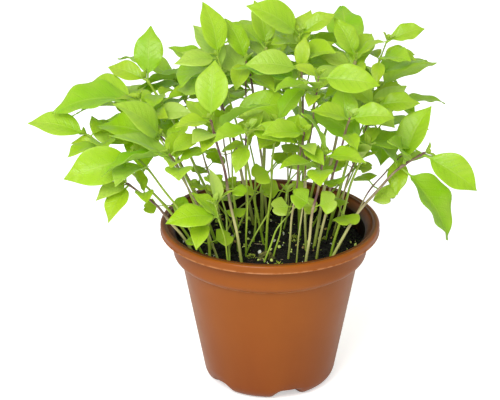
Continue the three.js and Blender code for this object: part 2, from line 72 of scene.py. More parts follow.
class Finish:
    """A material in the making, with short calls for the nodes that it is mixed from."""

    def __init__(self, name):
        self.material = bpy.data.materials.new(name)
        self.material.use_nodes = True
        self.tree = self.material.node_tree
        self.tree.nodes.clear()

    def value(self, name):
        return node(self.tree, "Attribute", attribute_name=name).outputs["Fac"]

    def maths(self, operation, *inputs):
        return node(self.tree, "Math", dict(enumerate(inputs)), operation=operation).outputs[0]

    def times(self, one, other):
        return self.maths("MULTIPLY", one, other)

    def ramp(self, source, low, high, start=0.0, end=1.0):
        return node(self.tree, "MapRange", {"Value": source, "From Min": low, "From Max": high,
                                            "To Min": start, "To Max": end}).outputs[0]

    def blend(self, colour, *layers):
        """The colour with others laid over it, each by its mask."""
        for mask, other in layers:
            colour = node(self.tree, "Mix", {0: mask, 6: colour, 7: other}, data_type="RGBA").outputs[2]
        return colour

    def bump(self, height, strength, distance):
        relief = {"Height": height, "Strength": strength, "Distance": distance}
        return node(self.tree, "Bump", relief).outputs[0]

    def shader(self, **inputs):
        """The Principled shader, with its inputs by name."""
        given = {name.replace("_", " "): value for name, value in inputs.items()}
        return node(self.tree, "BsdfPrincipled", given)

    def done(self, shader):
        node(self.tree, "OutputMaterial", {"Surface": shader.outputs[0]})
        return self.material


def put_in_scene(name, data):
    made = bpy.data.objects.new(name, data)
    bpy.context.scene.collection.objects.link(made)
    return made


camera = put_in_scene("camera", bpy.data.cameras.new("camera"))
camera.data.sensor_width = 36
camera.data.lens = CAMERA_LENS
camera.location = CAMERA_TARGET + CAMERA_DISTANCE * Vector(
    (0, -math.cos(CAMERA_ELEVATION), math.sin(CAMERA_ELEVATION))
)
camera.rotation_euler = (CAMERA_TARGET - camera.location).to_track_quat("-Z", "Y").to_euler()
bpy.context.scene.camera = camera
bpy.context.scene.view_settings.view_transform = "Standard"

surround = bpy.data.worlds.new("surround")
surround.use_nodes = True
backdrop = surround.node_tree.nodes["Background"]
seen = node(surround.node_tree, "LightPath").outputs["Is Camera Ray"]
strength = node(surround.node_tree, "Math", {0: seen, 1: SURROUND_STRENGTH}, operation="MAXIMUM")
backdrop.inputs["Color"].default_value = (1, 1, 1, 1)
surround.node_tree.links.new(strength.outputs[0], backdrop.inputs["Strength"])
bpy.context.scene.world = surround

lamp = put_in_scene("soft_lamp", bpy.data.lights.new("soft_lamp", "AREA"))
lamp.data.shape = "DISK"
lamp.data.size = LAMP_WIDTH
lamp.data.energy = LAMP_POWER
lamp.location = LAMP_PLACE
lamp.rotation_euler = (LAMP_AIM - LAMP_PLACE).to_track_quat("-Z", "Y").to_euler()

floor_mesh = bpy.data.meshes.new("floor")
corners = [(FLOOR_SIZE / 2 * x, FLOOR_SIZE / 2 * y, 0) for x, y in ((-1, -1), (1, -1), (1, 1), (-1, 1))]
floor_mesh.from_pydata(corners, [], [(0, 1, 2, 3)])
floor = put_in_scene("floor", floor_mesh)
paint = Finish("floor_paint")
lift = paint.times(node(paint.tree, "LightPath").outputs["Is Camera Ray"], FLOOR_LIFT)
white = paint.shader(Base_Color=FLOOR_WHITE, Roughness=0.9,
                     Emission_Color=(1, 1, 1, 1), Emission_Strength=lift)
floor_mesh.materials.append(paint.done(white))

# Nursery pot
# One thin shell of brown polypropylene, injection moulded: a rolled lip, a straight collar that stacked pots
# rest on, a tapered body and five notches pressed up into the edge of its base. Sizes are in millimetres.
MM = 0.001
POT_HEIGHT = 85
LIP_RADIUS = 55
LIP_WIDTH = 3.6
LIP_HEIGHT = 4.4
LIP_ROUND = 1.3
LIP_BEAD = 0.34
LIP_EDGE = 0.45
COLLAR_RADIUS = 48.7
COLLAR_HEIGHT = 19.2
SHOULDER_ROUND = 5
BEAD = 0.22
BODY_TOP_RADIUS = 44.4
BODY_BOTTOM_RADIUS = 33.2
BASE_ROUND = 8
WALL = 1.2
NOTCHES = 5
FIRST_NOTCH = math.radians(-72)
NOTCH_LIFT = 4
NOTCH_FLAT = math.radians(6)
NOTCH_HALF = math.radians(18)
NOTCH_DEPTH = 6.5
NOTCH_SLOPE = 0.62
NOTCH_STEPS = 6
CORNER_TURN = math.radians(78)
CORNER_STEPS = 12
WALL_STEPS = 13
DRAIN_RADIUS = 2.2
DRAIN_INSET = 1
DRAIN_SIDES = 32
POT_SIDES = 180
SHARP_EDGE = math.radians(50)
# The compost's stain with painted shade: where it fades in below the lip, and how far the painted shade
# reaches inwards over its top and how strong it is there.
STAIN_AND_SHADE_BELOW = (0.5, 1.7)
SHADE_ON_TOP = (1.0, 2.5)
TOP_SHADE_STRENGTH = 0.60
# How far the rubbed bands with their painted highlight reach on the two beads, and how strong the lower one
# is.
LIP_RUB_AND_HIGHLIGHT = 0.28
FOOT_RUB_AND_HIGHLIGHT = 0.35
FOOT_RUB_AND_HIGHLIGHT_STRENGTH = 0.6
FLOW_STREAKS = (60, 60, 9)
BODY_BROWN = (0.266, 0.066, 0.0020, 1)
FOOT_BROWN = (0.208, 0.044, 0.0020, 1)
THIN_BROWN = (0.312, 0.084, 0.0030, 1)
DULL_BROWN = (0.214, 0.053, 0.0024, 1)
# Rubbed wear on the beads, with a painted highlight line.
RUBBED_AND_HIGHLIGHT_BROWN = (0.62, 0.30, 0.13, 1)
# Compost stain with painted shade inside the wall, and painted shade on the lip top.
STAIN_AND_SHADE_DARK = (0.012, 0.0055, 0.0050, 1)


def smoothstep(value, low, high):
    share = np.clip((value - low) / (high - low), 0, 1)
    return share * share * (3 - 2 * share)


class Skins:
    """The points, faces and point values of one piece, gathered from closed skins in millimetres."""

    def __init__(self, *value_names):
        self.points, self.faces, self.slots = [], [], []
        self.values = {name: [] for name in value_names}

    def add(self, rings, slot=0, first=None, last=None, **values):
        """One skin through rings of points that turn right-handed about their way. A first or last point
        closes an end, else a flat face does. A value is one number, or one for each ring point."""
        rings = np.asarray(rings, float)
        count, sides = rings.shape[:2]
        grid = len(self.points) + np.arange(count * sides).reshape(count, sides)
        after = np.roll(grid, -1, axis=1)
        self.points += rings.reshape(-1, 3).tolist()
        self.faces += np.stack([grid[:-1], after[:-1], after[1:], grid[1:]], axis=-1).reshape(-1, 4).tolist()
        for name, kept in self.values.items():
            kept += np.broadcast_to(values.get(name, 0.0), grid.shape).ravel().tolist()
        for point, ring in ((first, grid[0][::-1]), (last, grid[-1])):
            if point is None:
                self.faces.append(ring.tolist())
                continue
            self.faces += [[len(self.points), int(a), int(b)] for a, b in zip(ring, np.roll(ring, -1))]
            self.points.append(list(point))
            for kept in self.values.values():
                kept.append(kept[ring[-1]])
        self.slots += [slot] * (len(self.faces) - len(self.slots))

    def piece(self, name, *materials):
        """The gathered skins as one smooth object in metres, with its values as point attributes."""
        mesh = bpy.data.meshes.new(name)
        mesh.from_pydata((np.array(self.points) * MM).tolist(), [], self.faces)
        mesh.polygons.foreach_set("material_index", self.slots)
        mesh.shade_smooth()
        for value_name, kept in self.values.items():
            attribute = mesh.attributes.new(value_name, "FLOAT", "POINT")
            attribute.data.foreach_set("value", kept)
        for material in materials:
            mesh.materials.append(material)
        mesh.update()
        return put_in_scene(name, mesh)


def round_turns(sides):
    return np.arange(sides) / sides * 2 * math.pi


def arc(centre, radius, start, end, steps):
    """Profile points round a centre, from one angle to another in degrees. 0 points outward and 90 up."""
    turns = np.radians(np.linspace(start, end, steps))
    return [[centre[0] + radius * math.cos(t), centre[1] + radius * math.sin(t), 0] for t in turns]


def wall_profile(inset):
    """Radius, height and share of a notch's lift, from the flat of the base to the foot of the lip."""
    foot_edge = BODY_BOTTOM_RADIUS - BASE_ROUND
    points = []
    for share in np.arange(NOTCH_STEPS + 1) / NOTCH_STEPS:
        lifted = float(smoothstep(share, 0, NOTCH_SLOPE))
        points.append([foot_edge - NOTCH_DEPTH * (1 - share), inset, lifted])
    bend = BASE_ROUND - inset
    for share in np.arange(1, CORNER_STEPS + 1) / CORNER_STEPS:
        turn = share * CORNER_TURN
        points.append([foot_edge + bend * math.sin(turn), BASE_ROUND - bend * math.cos(turn), 1 - share ** 2])
    shoulder = POT_HEIGHT - COLLAR_HEIGHT + inset * 0.6
    foot_radius, foot_height = points[-1][:2]
    top_radius, top_height = BODY_TOP_RADIUS - inset, shoulder - 0.4
    for share in np.arange(1, WALL_STEPS + 1) / WALL_STEPS:
        points.append([foot_radius + (top_radius - foot_radius) * share,
                       foot_height + (top_height - foot_height) * share, 0])
    if inset == 0:
        points.append([BODY_TOP_RADIUS + 0.05, shoulder - 0.2, 0])
        points += arc((BODY_TOP_RADIUS + 0.1, shoulder + BEAD), BEAD, -70, 60, 7)
    foot = BODY_TOP_RADIUS - inset + 0.35
    bend = COLLAR_RADIUS - inset - foot
    for turn in np.linspace(0, 1, 9):
        radius = foot + bend * math.sin(turn * math.radians(90)) ** 0.9
        points.append([radius, shoulder + 2 * BEAD + SHOULDER_ROUND * (0.55 * turn + 0.45 * turn ** 3), 0])
    return points


def notch_at(angles):
    """How far a notch lifts the base at these angles, from 0 to 1."""
    pitch = 2 * math.pi / NOTCHES
    off = np.abs((angles - FIRST_NOTCH + pitch / 2) % pitch - pitch / 2)
    return 1 - smoothstep(off, NOTCH_FLAT, NOTCH_HALF)


def turned_rings(profile, sides):
    """Rings round the pot's axis through a profile of radius, height and share of a notch's lift."""
    angles = round_turns(sides)
    lift = NOTCH_LIFT * notch_at(angles)
    return np.array([
        np.stack([radius * np.cos(angles), radius * np.sin(angles), height + share * lift], axis=-1)
        for radius, height, share in profile
    ])


def pot_profile():
    """The whole turned wall. The lip has a fine bead at its foot and a top that dips a little."""
    lip_in = LIP_RADIUS - LIP_WIDTH
    lip_foot = POT_HEIGHT - LIP_HEIGHT
    lip = [
        [COLLAR_RADIUS, lip_foot - 6, 0], [COLLAR_RADIUS, lip_foot - 3, 0],
        [COLLAR_RADIUS + 0.05, lip_foot - 1.2, 0], [COLLAR_RADIUS + 0.3, lip_foot - 0.4, 0],
        [COLLAR_RADIUS + 1.0, lip_foot + 0.1, 0],
        [LIP_RADIUS - 2.6, lip_foot + 0.2, 0], [LIP_RADIUS - 1.4, lip_foot + 0.1, 0],
        *arc((LIP_RADIUS - 0.30, lip_foot + 0.42), LIP_BEAD, -90, 75, 8),
        [LIP_RADIUS - 0.25, lip_foot + 0.95, 0], [LIP_RADIUS - 0.15, POT_HEIGHT - 2.6, 0],
        *arc((LIP_RADIUS - LIP_ROUND, POT_HEIGHT - LIP_ROUND), LIP_ROUND, 0, 80, 8),
        [LIP_RADIUS - 1.9, POT_HEIGHT - 0.12, 0], [lip_in + 1.1, POT_HEIGHT - 0.32, 0],
        *arc((lip_in + LIP_EDGE, POT_HEIGHT - LIP_EDGE), LIP_EDGE, 65, 180, 7),
        [lip_in - 0.1, POT_HEIGHT - 1.6, 0],
        [COLLAR_RADIUS - WALL + 0.3, lip_foot + 0.2, 0],
    ]
    return [*wall_profile(0), *lip, *wall_profile(WALL)[::-1]]


def mottle_group():
    """Clouds in a piece's own space, as a mask from 0 at Low to 1 at High and as the bare noise."""
    group = bpy.data.node_groups.new("mottle", "ShaderNodeTree")
    for name in ("Scale", "Detail", "Roughness", "Low", "High"):
        group.interface.new_socket(name, in_out="INPUT", socket_type="NodeSocketFloat")
    for name in ("Mask", "Noise"):
        group.interface.new_socket(name, in_out="OUTPUT", socket_type="NodeSocketFloat")
    given, result = group.nodes.new("NodeGroupInput").outputs, group.nodes.new("NodeGroupOutput").inputs
    place = node(group, "TexCoord").outputs["Object"]
    clouds = node(group, "TexNoise", {"Vector": place, "Scale": given["Scale"], "Detail": given["Detail"],
                                      "Roughness": given["Roughness"]}).outputs[0]
    mask = node(group, "MapRange", {"Value": clouds, "From Min": given["Low"], "From Max": given["High"]})
    group.links.new(mask.outputs[0], result["Mask"])
    group.links.new(clouds, result["Noise"])
    return group


MOTTLE = mottle_group()


def mottle(make, scale, detail, low=0.0, high=1.0, roughness=0.5):
    """The mottle group's mask and its bare noise."""
    given = {"Scale": scale, "Detail": detail, "Roughness": roughness, "Low": low, "High": high}
    made = node(make.tree, "Group", given, node_tree=MOTTLE)
    return made.outputs["Mask"], made.outputs["Noise"]


def plastic():
    """Satin brown polypropylene: colour that thins in flow streaks, a little redder and darker towards the
    base, with a fine mould grain, dull patches and rubbed beads that carry a painted highlight. Inside, the
    compost has stained it dark, with painted shade, and painted shade darkens the lip top by its inner edge."""
    make = Finish("brown_plastic")
    place = node(make.tree, "TexCoord").outputs["Object"]
    height = node(make.tree, "SeparateXYZ", {0: place}).outputs["Z"]
    stretched = node(make.tree, "Mapping", {"Vector": place, "Scale": FLOW_STREAKS}).outputs[0]
    streaks = node(make.tree, "TexNoise", {"Vector": stretched, "Scale": 1.0, "Detail": 4.0}).outputs[0]
    clouds = mottle(make, 34.0, 3.0, roughness=0.6)[1]
    broken = make.times(mottle(make, 260.0, 2.0, 0.36, 0.56)[0], 0.50)
    colour = make.blend(
        BODY_BROWN,
        (make.ramp(height, 0.050, 0.0), FOOT_BROWN),
        (make.ramp(streaks, 0.35, 0.68, 0.0, 0.30), THIN_BROWN),
        (make.ramp(clouds, 0.40, 0.75, 0.0, 0.35), DULL_BROWN),
        # Compost stain and painted shade inside the wall, and painted shade on the lip top by its inner edge.
        (make.times(make.value("stain"), make.ramp(clouds, 0.3, 0.6, 0.90)), STAIN_AND_SHADE_DARK),
        # Rubbed beads with a painted highlight line.
        (make.times(make.value("rub"), broken), RUBBED_AND_HIGHLIGHT_BROWN),
    )
    grain = make.bump(mottle(make, 900.0, 2.0)[1], 0.12, 0.0002)
    satin = make.ramp(clouds, 0.3, 0.7, 0.30, 0.44)
    return make.done(make.shader(Base_Color=colour, Roughness=satin, Normal=grain, Specular_IOR_Level=0.26))


def cut_drains(pot):
    """Five round drain holes through the base, one in each notch."""
    ring = BODY_BOTTOM_RADIUS - BASE_ROUND - DRAIN_INSET
    for turn in FIRST_NOTCH + round_turns(NOTCHES):
        bit = bmesh.new()
        bmesh.ops.create_cone(bit, cap_ends=True, segments=DRAIN_SIDES, radius1=DRAIN_RADIUS * MM,
                              radius2=DRAIN_RADIUS * MM, depth=3 * NOTCH_LIFT * MM)
        bmesh.ops.translate(bit, verts=bit.verts,
                            vec=Vector((ring * math.cos(turn), ring * math.sin(turn), NOTCH_LIFT)) * MM)
        mesh = bpy.data.meshes.new("drain_bit")
        bit.to_mesh(mesh)
        bit.free()
        drill = put_in_scene("drain_bit", mesh)
        hole = pot.modifiers.new("drain", "BOOLEAN")
        hole.object, hole.operation, hole.solver = drill, "DIFFERENCE", "EXACT"
        cut = bpy.data.meshes.new_from_object(pot.evaluated_get(bpy.context.evaluated_depsgraph_get()))
        pot.modifiers.clear()
        whole, pot.data = pot.data, cut
        bpy.data.meshes.remove(whole)
        bpy.data.objects.remove(drill)
        bpy.data.meshes.remove(mesh)
    pot.data.set_sharp_from_angle(angle=SHARP_EDGE)


pot_skins = Skins("stain", "rub")
profile = pot_profile()
radii, heights, _ = np.array(profile).T
inside = np.arange(len(profile)) >= len(profile) - len(wall_profile(WALL)) - 1
# Compost stain and painted shade on the inner wall below the lip.
stain_and_shade_below_lip = inside * smoothstep(POT_HEIGHT - heights, *STAIN_AND_SHADE_BELOW)
# Painted shade over the lip top by its inner edge.
painted_shade_on_top = TOP_SHADE_STRENGTH * smoothstep(LIP_RADIUS - radii, *SHADE_ON_TOP) * (heights > POT_HEIGHT - 0.6)
off_lip_bead = heights - POT_HEIGHT + LIP_HEIGHT - 0.55
off_foot_bead = heights - POT_HEIGHT + COLLAR_HEIGHT - BEAD
# Rubbed bands with a painted highlight line on the lip's bead and the collar's foot bead.
lip_bead_rub_and_highlight = np.exp(-(off_lip_bead / LIP_RUB_AND_HIGHLIGHT) ** 2) * (radii > LIP_RADIUS - 1)
foot_bead_rub_and_highlight = FOOT_RUB_AND_HIGHLIGHT_STRENGTH * (np.exp(-(off_foot_bead / FOOT_RUB_AND_HIGHLIGHT) ** 2) * (~inside))
pot_skins.add(turned_rings(profile, POT_SIDES), first=(0, 0, 0), last=(0, 0, WALL),
              stain=np.maximum(stain_and_shade_below_lip, painted_shade_on_top)[:, None], rub=np.maximum(lip_bead_rub_and_highlight, foot_bead_rub_and_highlight)[:, None])
pot = pot_skins.piece("nursery_pot", plastic())
cut_drains(pot)
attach(pot, "root")
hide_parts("pot")

# Potting soil
# Moist peat compost, nearly black, filled to about 12 mm below the lip and settled into crumbs. It is one
# body that follows the wall, and it holds the stems.
SOIL_LEVEL = 73
SOIL_CROWN = 1.5
SOIL_SIDES = 150
SOIL_RINGS = 60
SOIL_GAP = 0.4
SOIL_SETTLED = 0.5
# Swells, clods, crumbs and specks: height, waves to a millimetre and place in the noise.
SOIL_RELIEF = ((0.7, 0.07, 1.7), (0.9, 0.24, 5.1), (0.65, 0.62, 9.3), (0.3, 1.4, 13.9))
PEAT_BLACK = (0.0018, 0.0017, 0.0018, 1)
PEAT_DARK = (0.0090, 0.0070, 0.0058, 1)
PEAT_BROWN = (0.045, 0.031, 0.019, 1)


def soil_top(x, y):
    """Height of the soil's crumbled top at this place."""
    share = math.hypot(x, y) / (COLLAR_RADIUS - WALL - SOIL_GAP)
    relief = sum(height * noise.noise(Vector((x * waves, y * waves, layer)))
                 for height, waves, layer in SOIL_RELIEF)
    return SOIL_LEVEL + SOIL_CROWN * (1 - share ** 2) + relief - SOIL_SETTLED


def compost():
    """Peat compost: black-brown, mottled with paler fibre and damp patches that shine a little."""
    make = Finish("peat_compost")
    fibre, clouds = mottle(make, 420.0, 6.0, 0.66, 0.76, roughness=0.65)
    place = node(make.tree, "TexCoord").outputs["Object"]
    crumbs = node(make.tree, "TexVoronoi", {"Vector": place, "Scale": 560.0}).outputs["Distance"]
    colour = make.blend(PEAT_BLACK, (clouds, PEAT_DARK), (fibre, PEAT_BROWN))
    relief = make.bump(make.maths("ADD", clouds, crumbs), 0.8, 0.0006)
    damp = make.ramp(clouds, 0.35, 0.6, 0.60, 0.95)
    return make.done(make.shader(Base_Color=colour, Roughness=damp, Normal=relief, Specular_IOR_Level=0.25))


soil_skins = Skins()
inner_wall = wall_profile(WALL + SOIL_GAP)
on_notches = [index for index, point in enumerate(inner_wall) if point[2] > 0]
flat_end, wall_start = on_notches[0], on_notches[-1] + 1
step_up = [inner_wall[flat_end - 1][0], inner_wall[flat_end - 1][1] + NOTCH_LIFT + 0.2, 0]
over_notches = [*inner_wall[:flat_end], step_up, *inner_wall[wall_start:]]
soil_rings = list(turned_rings([point for point in over_notches if point[1] < SOIL_LEVEL - 2], SOIL_SIDES))
circle = np.stack([np.cos(round_turns(SOIL_SIDES)), np.sin(round_turns(SOIL_SIDES))], axis=-1)
for radius in inner_wall[-1][0] * np.sqrt(np.linspace(1, 0, SOIL_RINGS, endpoint=False)):
    soil_rings.append([(x, y, soil_top(x, y)) for x, y in radius * circle])
soil_skins.add(soil_rings, first=(0, 0, WALL + SOIL_GAP), last=(0, 0, soil_top(0, 0)))
soil_material = compost()
soil = soil_skins.piece("potting_soil", soil_material)
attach(soil, "root")
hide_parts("soil")

# Crumbs, grit, roots and moss
# What lies loose on the compost: crumbs of peat, pale grains of perlite and sand, a few bare roots and peat
# fibres, small cushions of bright moss and one olive clump that has grown round the feet of the stems.
CRUMBS = 1100
CRUMB_SPREAD = 46.3
CRUMB_LEAST = 0.35
CRUMB_MORE = 1.0
CRUMB_SQUASH = 0.75
GRAINS = 250
GRAIN_SPREAD = 45.5
GRAIN_LEAST = 0.28
GRAIN_MORE = 0.85
GRAIN_SQUASH = 0.55
# The shares of perlite, and of perlite and amber sand together.
GRAIN_KINDS = (0.24, 0.46)
ROOTS = 70
ROOT_SPREAD = 43
WALL_FREE = 46
# One cushion: its place right and back, its radius and height, and how many leaflets it has.
MOSS_CUSHIONS = [(12.5, 1.5, 2.7, 1.7, 80), (-9.0, -19.0, 2.1, 1.3, 50), (-21.5, 4.0, 1.8, 1.2, 36),
                 (26.0, 3.0, 1.7, 1.2, 34), (4.0, -27.0, 1.7, 1.1, 34), (-12.0, 30.0, 2.0, 1.4, 40)]
MOSS_CLUMP = (-2.0, -19.5, 3.9, 3.2, 300)


def any_turn(rng):
    return rng.uniform(0, 2 * math.pi)


def on_soil(rng, edge):
    """A place spread evenly over the soil within this radius."""
    radius, turn = edge * math.sqrt(rng.uniform()), any_turn(rng)
    return radius * math.cos(turn), radius * math.sin(turn)


def add_lump(skins, rng, centre, size, squash, slot=0, sides=7, rows=5):
    """One rough grain, turned any way."""
    turns = round_turns(sides)
    slopes = (np.arange(1, rows) / rows * math.pi)[:, None]
    radius = 1 + rng.uniform(-0.28, 0.28, (rows - 1, sides))
    flat = np.sin(slopes) * radius
    rings = np.stack([flat * np.cos(turns), flat * np.sin(turns), -np.cos(slopes) * radius * squash], axis=-1)
    spin = np.array(Vector(rng.normal(size=3)).to_track_quat("Z", "Y").to_matrix()).T * size
    first, last = (np.array([0, 0, end]) @ spin + centre for end in (-squash, squash))
    skins.add(rings @ spin + centre, slot=slot, first=first, last=last)


def unit(vector):
    return vector / np.linalg.norm(vector, axis=-1, keepdims=True)


def beside(way, from_way=(0.0, 1.0, 0.0)):
    """Square to both ways."""
    return unit(np.cross(np.array(from_way), way))


def round_sections(points, way, sideways, radii, sides):
    """Rings square to their way round a line of points, with a radius for each point or each ring point."""
    turns = round_turns(sides)
    return points[:, None] + sideways[:, None] * (radii * np.cos(turns))[..., None] \
        + np.cross(way, sideways)[:, None] * (radii * np.sin(turns))[..., None]


def add_thread(skins, points, radii, sides=4, slot=0):
    """A thin root or leaflet through these points, drawn out at its end."""
    points = np.asarray(points, float)
    way = unit(np.gradient(points, axis=0))
    rings = round_sections(points, way, beside(way, (0.31, 0.92, 0.24)), np.array(radii)[:, None], sides)
    skins.add(rings[:-1], slot=slot, last=points[-1])


def matt_material(name, one, other, roughness, scale):
    """A dull natural stuff mottled between two colours."""
    make = Finish(name)
    tone = make.blend((*one, 1), (mottle(make, scale, 4.0, 0.38, 0.62)[0], (*other, 1)))
    return make.done(make.shader(Base_Color=tone, Roughness=roughness))


rng = np.random.default_rng(5)
crumb_skins = Skins()
for _ in range(CRUMBS):
    x, y = on_soil(rng, CRUMB_SPREAD)
    size = CRUMB_LEAST + CRUMB_MORE * rng.uniform() ** 3
    add_lump(crumb_skins, rng, (x, y, soil_top(x, y) + 0.2 * size), size, CRUMB_SQUASH)
crumbs = crumb_skins.piece("peat_crumbs", soil_material)

grain_skins = Skins()
for _ in range(GRAINS):
    x, y = on_soil(rng, GRAIN_SPREAD)
    size = GRAIN_LEAST + GRAIN_MORE * rng.uniform() ** 2
    kind = int(np.searchsorted(GRAIN_KINDS, rng.uniform()))
    add_lump(grain_skins, rng, (x, y, soil_top(x, y) + 0.45 * size), size, GRAIN_SQUASH, slot=kind)
grains = grain_skins.piece(
    "loose_grains",
    matt_material("perlite", (0.70, 0.70, 0.60), (0.36, 0.36, 0.29), 0.7, 500.0),
    matt_material("amber_sand", (0.46, 0.33, 0.10), (0.24, 0.15, 0.05), 0.5, 500.0),
    matt_material("green_sand", (0.70, 0.80, 0.20), (0.36, 0.46, 0.07), 0.6, 400.0),
)

root_skins = Skins()
for _ in range(ROOTS):
    x, y = on_soil(rng, ROOT_SPREAD)
    length, heading, bend = rng.uniform(2, 8), any_turn(rng), rng.normal(0, 0.5)
    turns = heading + bend * np.linspace(-1, 1, 7)
    steps = length / len(turns) * np.stack([np.cos(turns), np.sin(turns)], axis=-1)
    flat = [place for place in np.array([x, y]) + np.cumsum(steps, axis=0) if math.hypot(*place) < WALL_FREE]
    points = [(px, py, soil_top(px, py) + 0.25 + 0.4 * rng.uniform()) for px, py in flat]
    if len(points) > 3:
        radius = rng.uniform(0.08, 0.2)
        add_thread(root_skins, points, np.full(len(points), radius), slot=int(rng.uniform() < 0.75))
roots = root_skins.piece(
    "roots_and_fibres",
    matt_material("bare_root", (0.42, 0.34, 0.20), (0.22, 0.15, 0.08), 0.7, 300.0),
    matt_material("peat_fibre", (0.070, 0.042, 0.022), (0.020, 0.012, 0.008), 0.9, 300.0),
)


def add_moss(skins, rng, x, y, radius, height, leaflets):
    """A cushion of tiny pointed leaflets, higher in its middle."""
    for _ in range(leaflets):
        share, turn = math.sqrt(rng.uniform()), any_turn(rng)
        px, py = x + radius * share * math.cos(turn), y + radius * share * math.sin(turn)
        base = np.array([px, py, soil_top(px, py) - 0.2 + height * (1 - share ** 2) * rng.uniform(0.1, 0.9)])
        lean = np.array([share * math.cos(turn), share * math.sin(turn), 0.5]) + rng.normal(0, 0.35, 3)
        way = unit(lean) * rng.uniform(0.7, 1.5)
        rise = np.array([0, 0, 0.25])
        points = [base, base + 0.5 * way + rise * 0.5, base + way + rise * 0.2]
        add_thread(skins, points, [0.16, 0.2, 0.1], sides=3)


moss_skins = Skins()
for cushion in MOSS_CUSHIONS:
    add_moss(moss_skins, rng, *cushion)
bright_moss = matt_material("bright_moss", (0.52, 0.60, 0.06), (0.20, 0.28, 0.03), 0.75, 350.0)
moss = moss_skins.piece("moss_cushions", bright_moss)
clump_skins = Skins()
add_moss(clump_skins, rng, *MOSS_CLUMP)
olive_moss = matt_material("olive_moss", (0.34, 0.31, 0.07), (0.11, 0.12, 0.030), 0.8, 300.0)
clump = clump_skins.piece("moss_clump", olive_moss)
for piece in (crumbs, grains, roots, moss, clump):
    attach(piece, "root")

# Seedlings
# Young basil sown close together, each a square stem with crossed pairs of pointed leaves, the next leaves
# still folded at its top and, on many, the pair of blunt seed leaves low down. A seedling is all one growth.
FOOT_RADIUS = 0.8
CROWN_RADIUS = 0.58
STEM_DEPTH = 8
STEM_BEND = 0.42
STEM_BOW = 6
STEM_WANDER = 0.45
STEM_SQUARE = 0.05
NODE_SWELL = 0.22
NODE_REACH = 1.6
STEM_SIDES = 12
STEM_STEPS = 44
BUD_LENGTH = 9
PETIOLE_RADIUS = 0.5
PETIOLE_SHARE = 0.022
BLADE_SKIN = 0.13
PAIR_STEP = 8
# Stems taller than this also carry a low leaf, unless they lean further to the front than the next value.
TALL = 134
BARE_FRONT = -13
LOW_DROP = 22
CLEARANCE = 2
LEAF_REACH = 1.2
LEAF_MARGIN = 2
STEM_MARGIN = 1.9
NEAR_LIP = 45
BLADE_GRID = (17, 28)
SMALL_GRID = (11, 15)
BUD_GRID = (9, 11)
SEED_AGE = 0.75
BUD_AGE = 0.6
GROWTH_VALUES = ("along", "across", "vein", "age", "shade", "under")
FRONT = np.array([0.0, -1.0, 0.0])
UP = np.array([0.0, 0.0, 1.0])
TRUE_LEAF = SimpleNamespace(petiole=0.14, width=0.64, spread=0.88, arch=0.13, notch=0.0,
                            outline=lambda s: 2.967 * s ** 0.62 * (1 - s) ** 1.02)
SEED_LEAF = SimpleNamespace(petiole=0.34, width=1.25, arch=0.08, notch=0.16,
                            outline=lambda s: np.minimum(1, 2.6 * s ** 0.7) * (1 - s ** 3) ** 0.5)
# Small leaves set round one place of a stem: how far a leaf is off its even place, and the least and greatest
# climb, length and turn of its face to the front.
SEED_PAIR = {"kind": SEED_LEAF, "off": 0.2, "climb": (-0.1, 0.35), "length": (10, 14), "turn": (5, 45)}
SIDE_SHOOT = {"kind": TRUE_LEAF, "off": 0.3, "climb": (0.1, 0.7), "length": (14, 25), "turn": (0, 45)}
# True leaves that grow by rule, each as a least value and what a draw adds to it, lengths in millimetres and
# angles in degrees. PAIR is for the crossed pairs and LOW for the low leaf.
LEAF_PLUMP = (0.95, 0.15)
LEAF_CUP = (-0.1, 0.3)
PAIR_LENGTH = (31, 8)
PAIR_TURN = (0, 25)
LOW_SWING = (10, 45)
LOW_CLIMB = (-8, 22)
LOW_LENGTH = (28, 9)
LOW_TURN = (0, 30)
# How much longer the lower pair is, how steeply the upper one climbs and how far either strays.
PAIR_LONGER = 6
PAIR_CLIMB = 14
PAIR_STRAY = 24
GOLDEN_ANGLE = 137.5
DRAW_STEP = 16807
DRAW_LIMIT = 2147483647
# The length, lean in degrees and plumpness of the two pairs in a bud.
BUD_PAIRS = ((7.0, 42, 1.2), (4.2, 18, 1.3))
# How leaves differ: a key that spreads the trait among them, then its least and greatest value.
LEAF_TRAITS = {
    "taper": (17.9, 0.66, 0.86), "breadth": (8.7, -0.04, 0.06), "quilt": (5.3, 0.013, 0.035),
    "keel": (3.1, 0.20, 0.58), "twist": (11.7, -0.45, 0.45), "droop": (2.3, 0.0, 0.07),
    "wave": (1, 0.010, 0.026), "wave_count": (1, 1.6, 3.0),
}
SIDE_VEINS = 6.5
LEAF_YOUNG = (0.52, 0.63, 0.045, 1)
LEAF_GROWN = (0.42, 0.65, 0.016, 1)
LEAF_DEEP = (0.250, 0.540, 0.009, 1)
LEAF_PALE = (0.52, 0.65, 0.080, 1)
# Painted shade, laid towards a leaf's heart and near its side veins.
LEAF_PAINTED_SHADE = (0.24, 0.51, 0.009, 1)
LEAF_VEIN = (0.55, 0.70, 0.12, 1)
LEAF_UNDER = (0.50, 0.62, 0.14, 1)
# A painted sheen that pales a few leaves towards a whitish green.
LEAF_PAINTED_SHEEN = (0.60, 0.72, 0.24, 1)
GLOW_YOUNG = (0.84, 0.88, 0.040, 1)
GLOW_GROWN = (0.66, 0.90, 0.014, 1)
# The stem's colours low down, in its middle and at its top, where it is green and where it is flushed. The
# low colours are darkened by painted shade near the soil.
GREEN_STEM = ((0.17, 0.30, 0.014, 1), (0.42, 0.57, 0.060, 1), (0.30, 0.43, 0.040, 1))
FLUSHED_STEM = ((0.25, 0.32, 0.030, 1), (0.64, 0.61, 0.26, 1), (0.150, 0.060, 0.062, 1))


def sown(foot, crown, *leaves, seed=None, bow=STEM_BOW):
    """foot is where the stem leaves the soil and crown its top. A leaf is the way from crown to tip as right,
    back and up, then how far its face turns from the sky to the front, in degrees. seed is the height share
    of the seed leaves, then the same for them. One with no leaves listed grows two pairs by rule."""
    return SimpleNamespace(foot=foot, crown=crown, leaves=leaves, seed=seed, bow=bow)


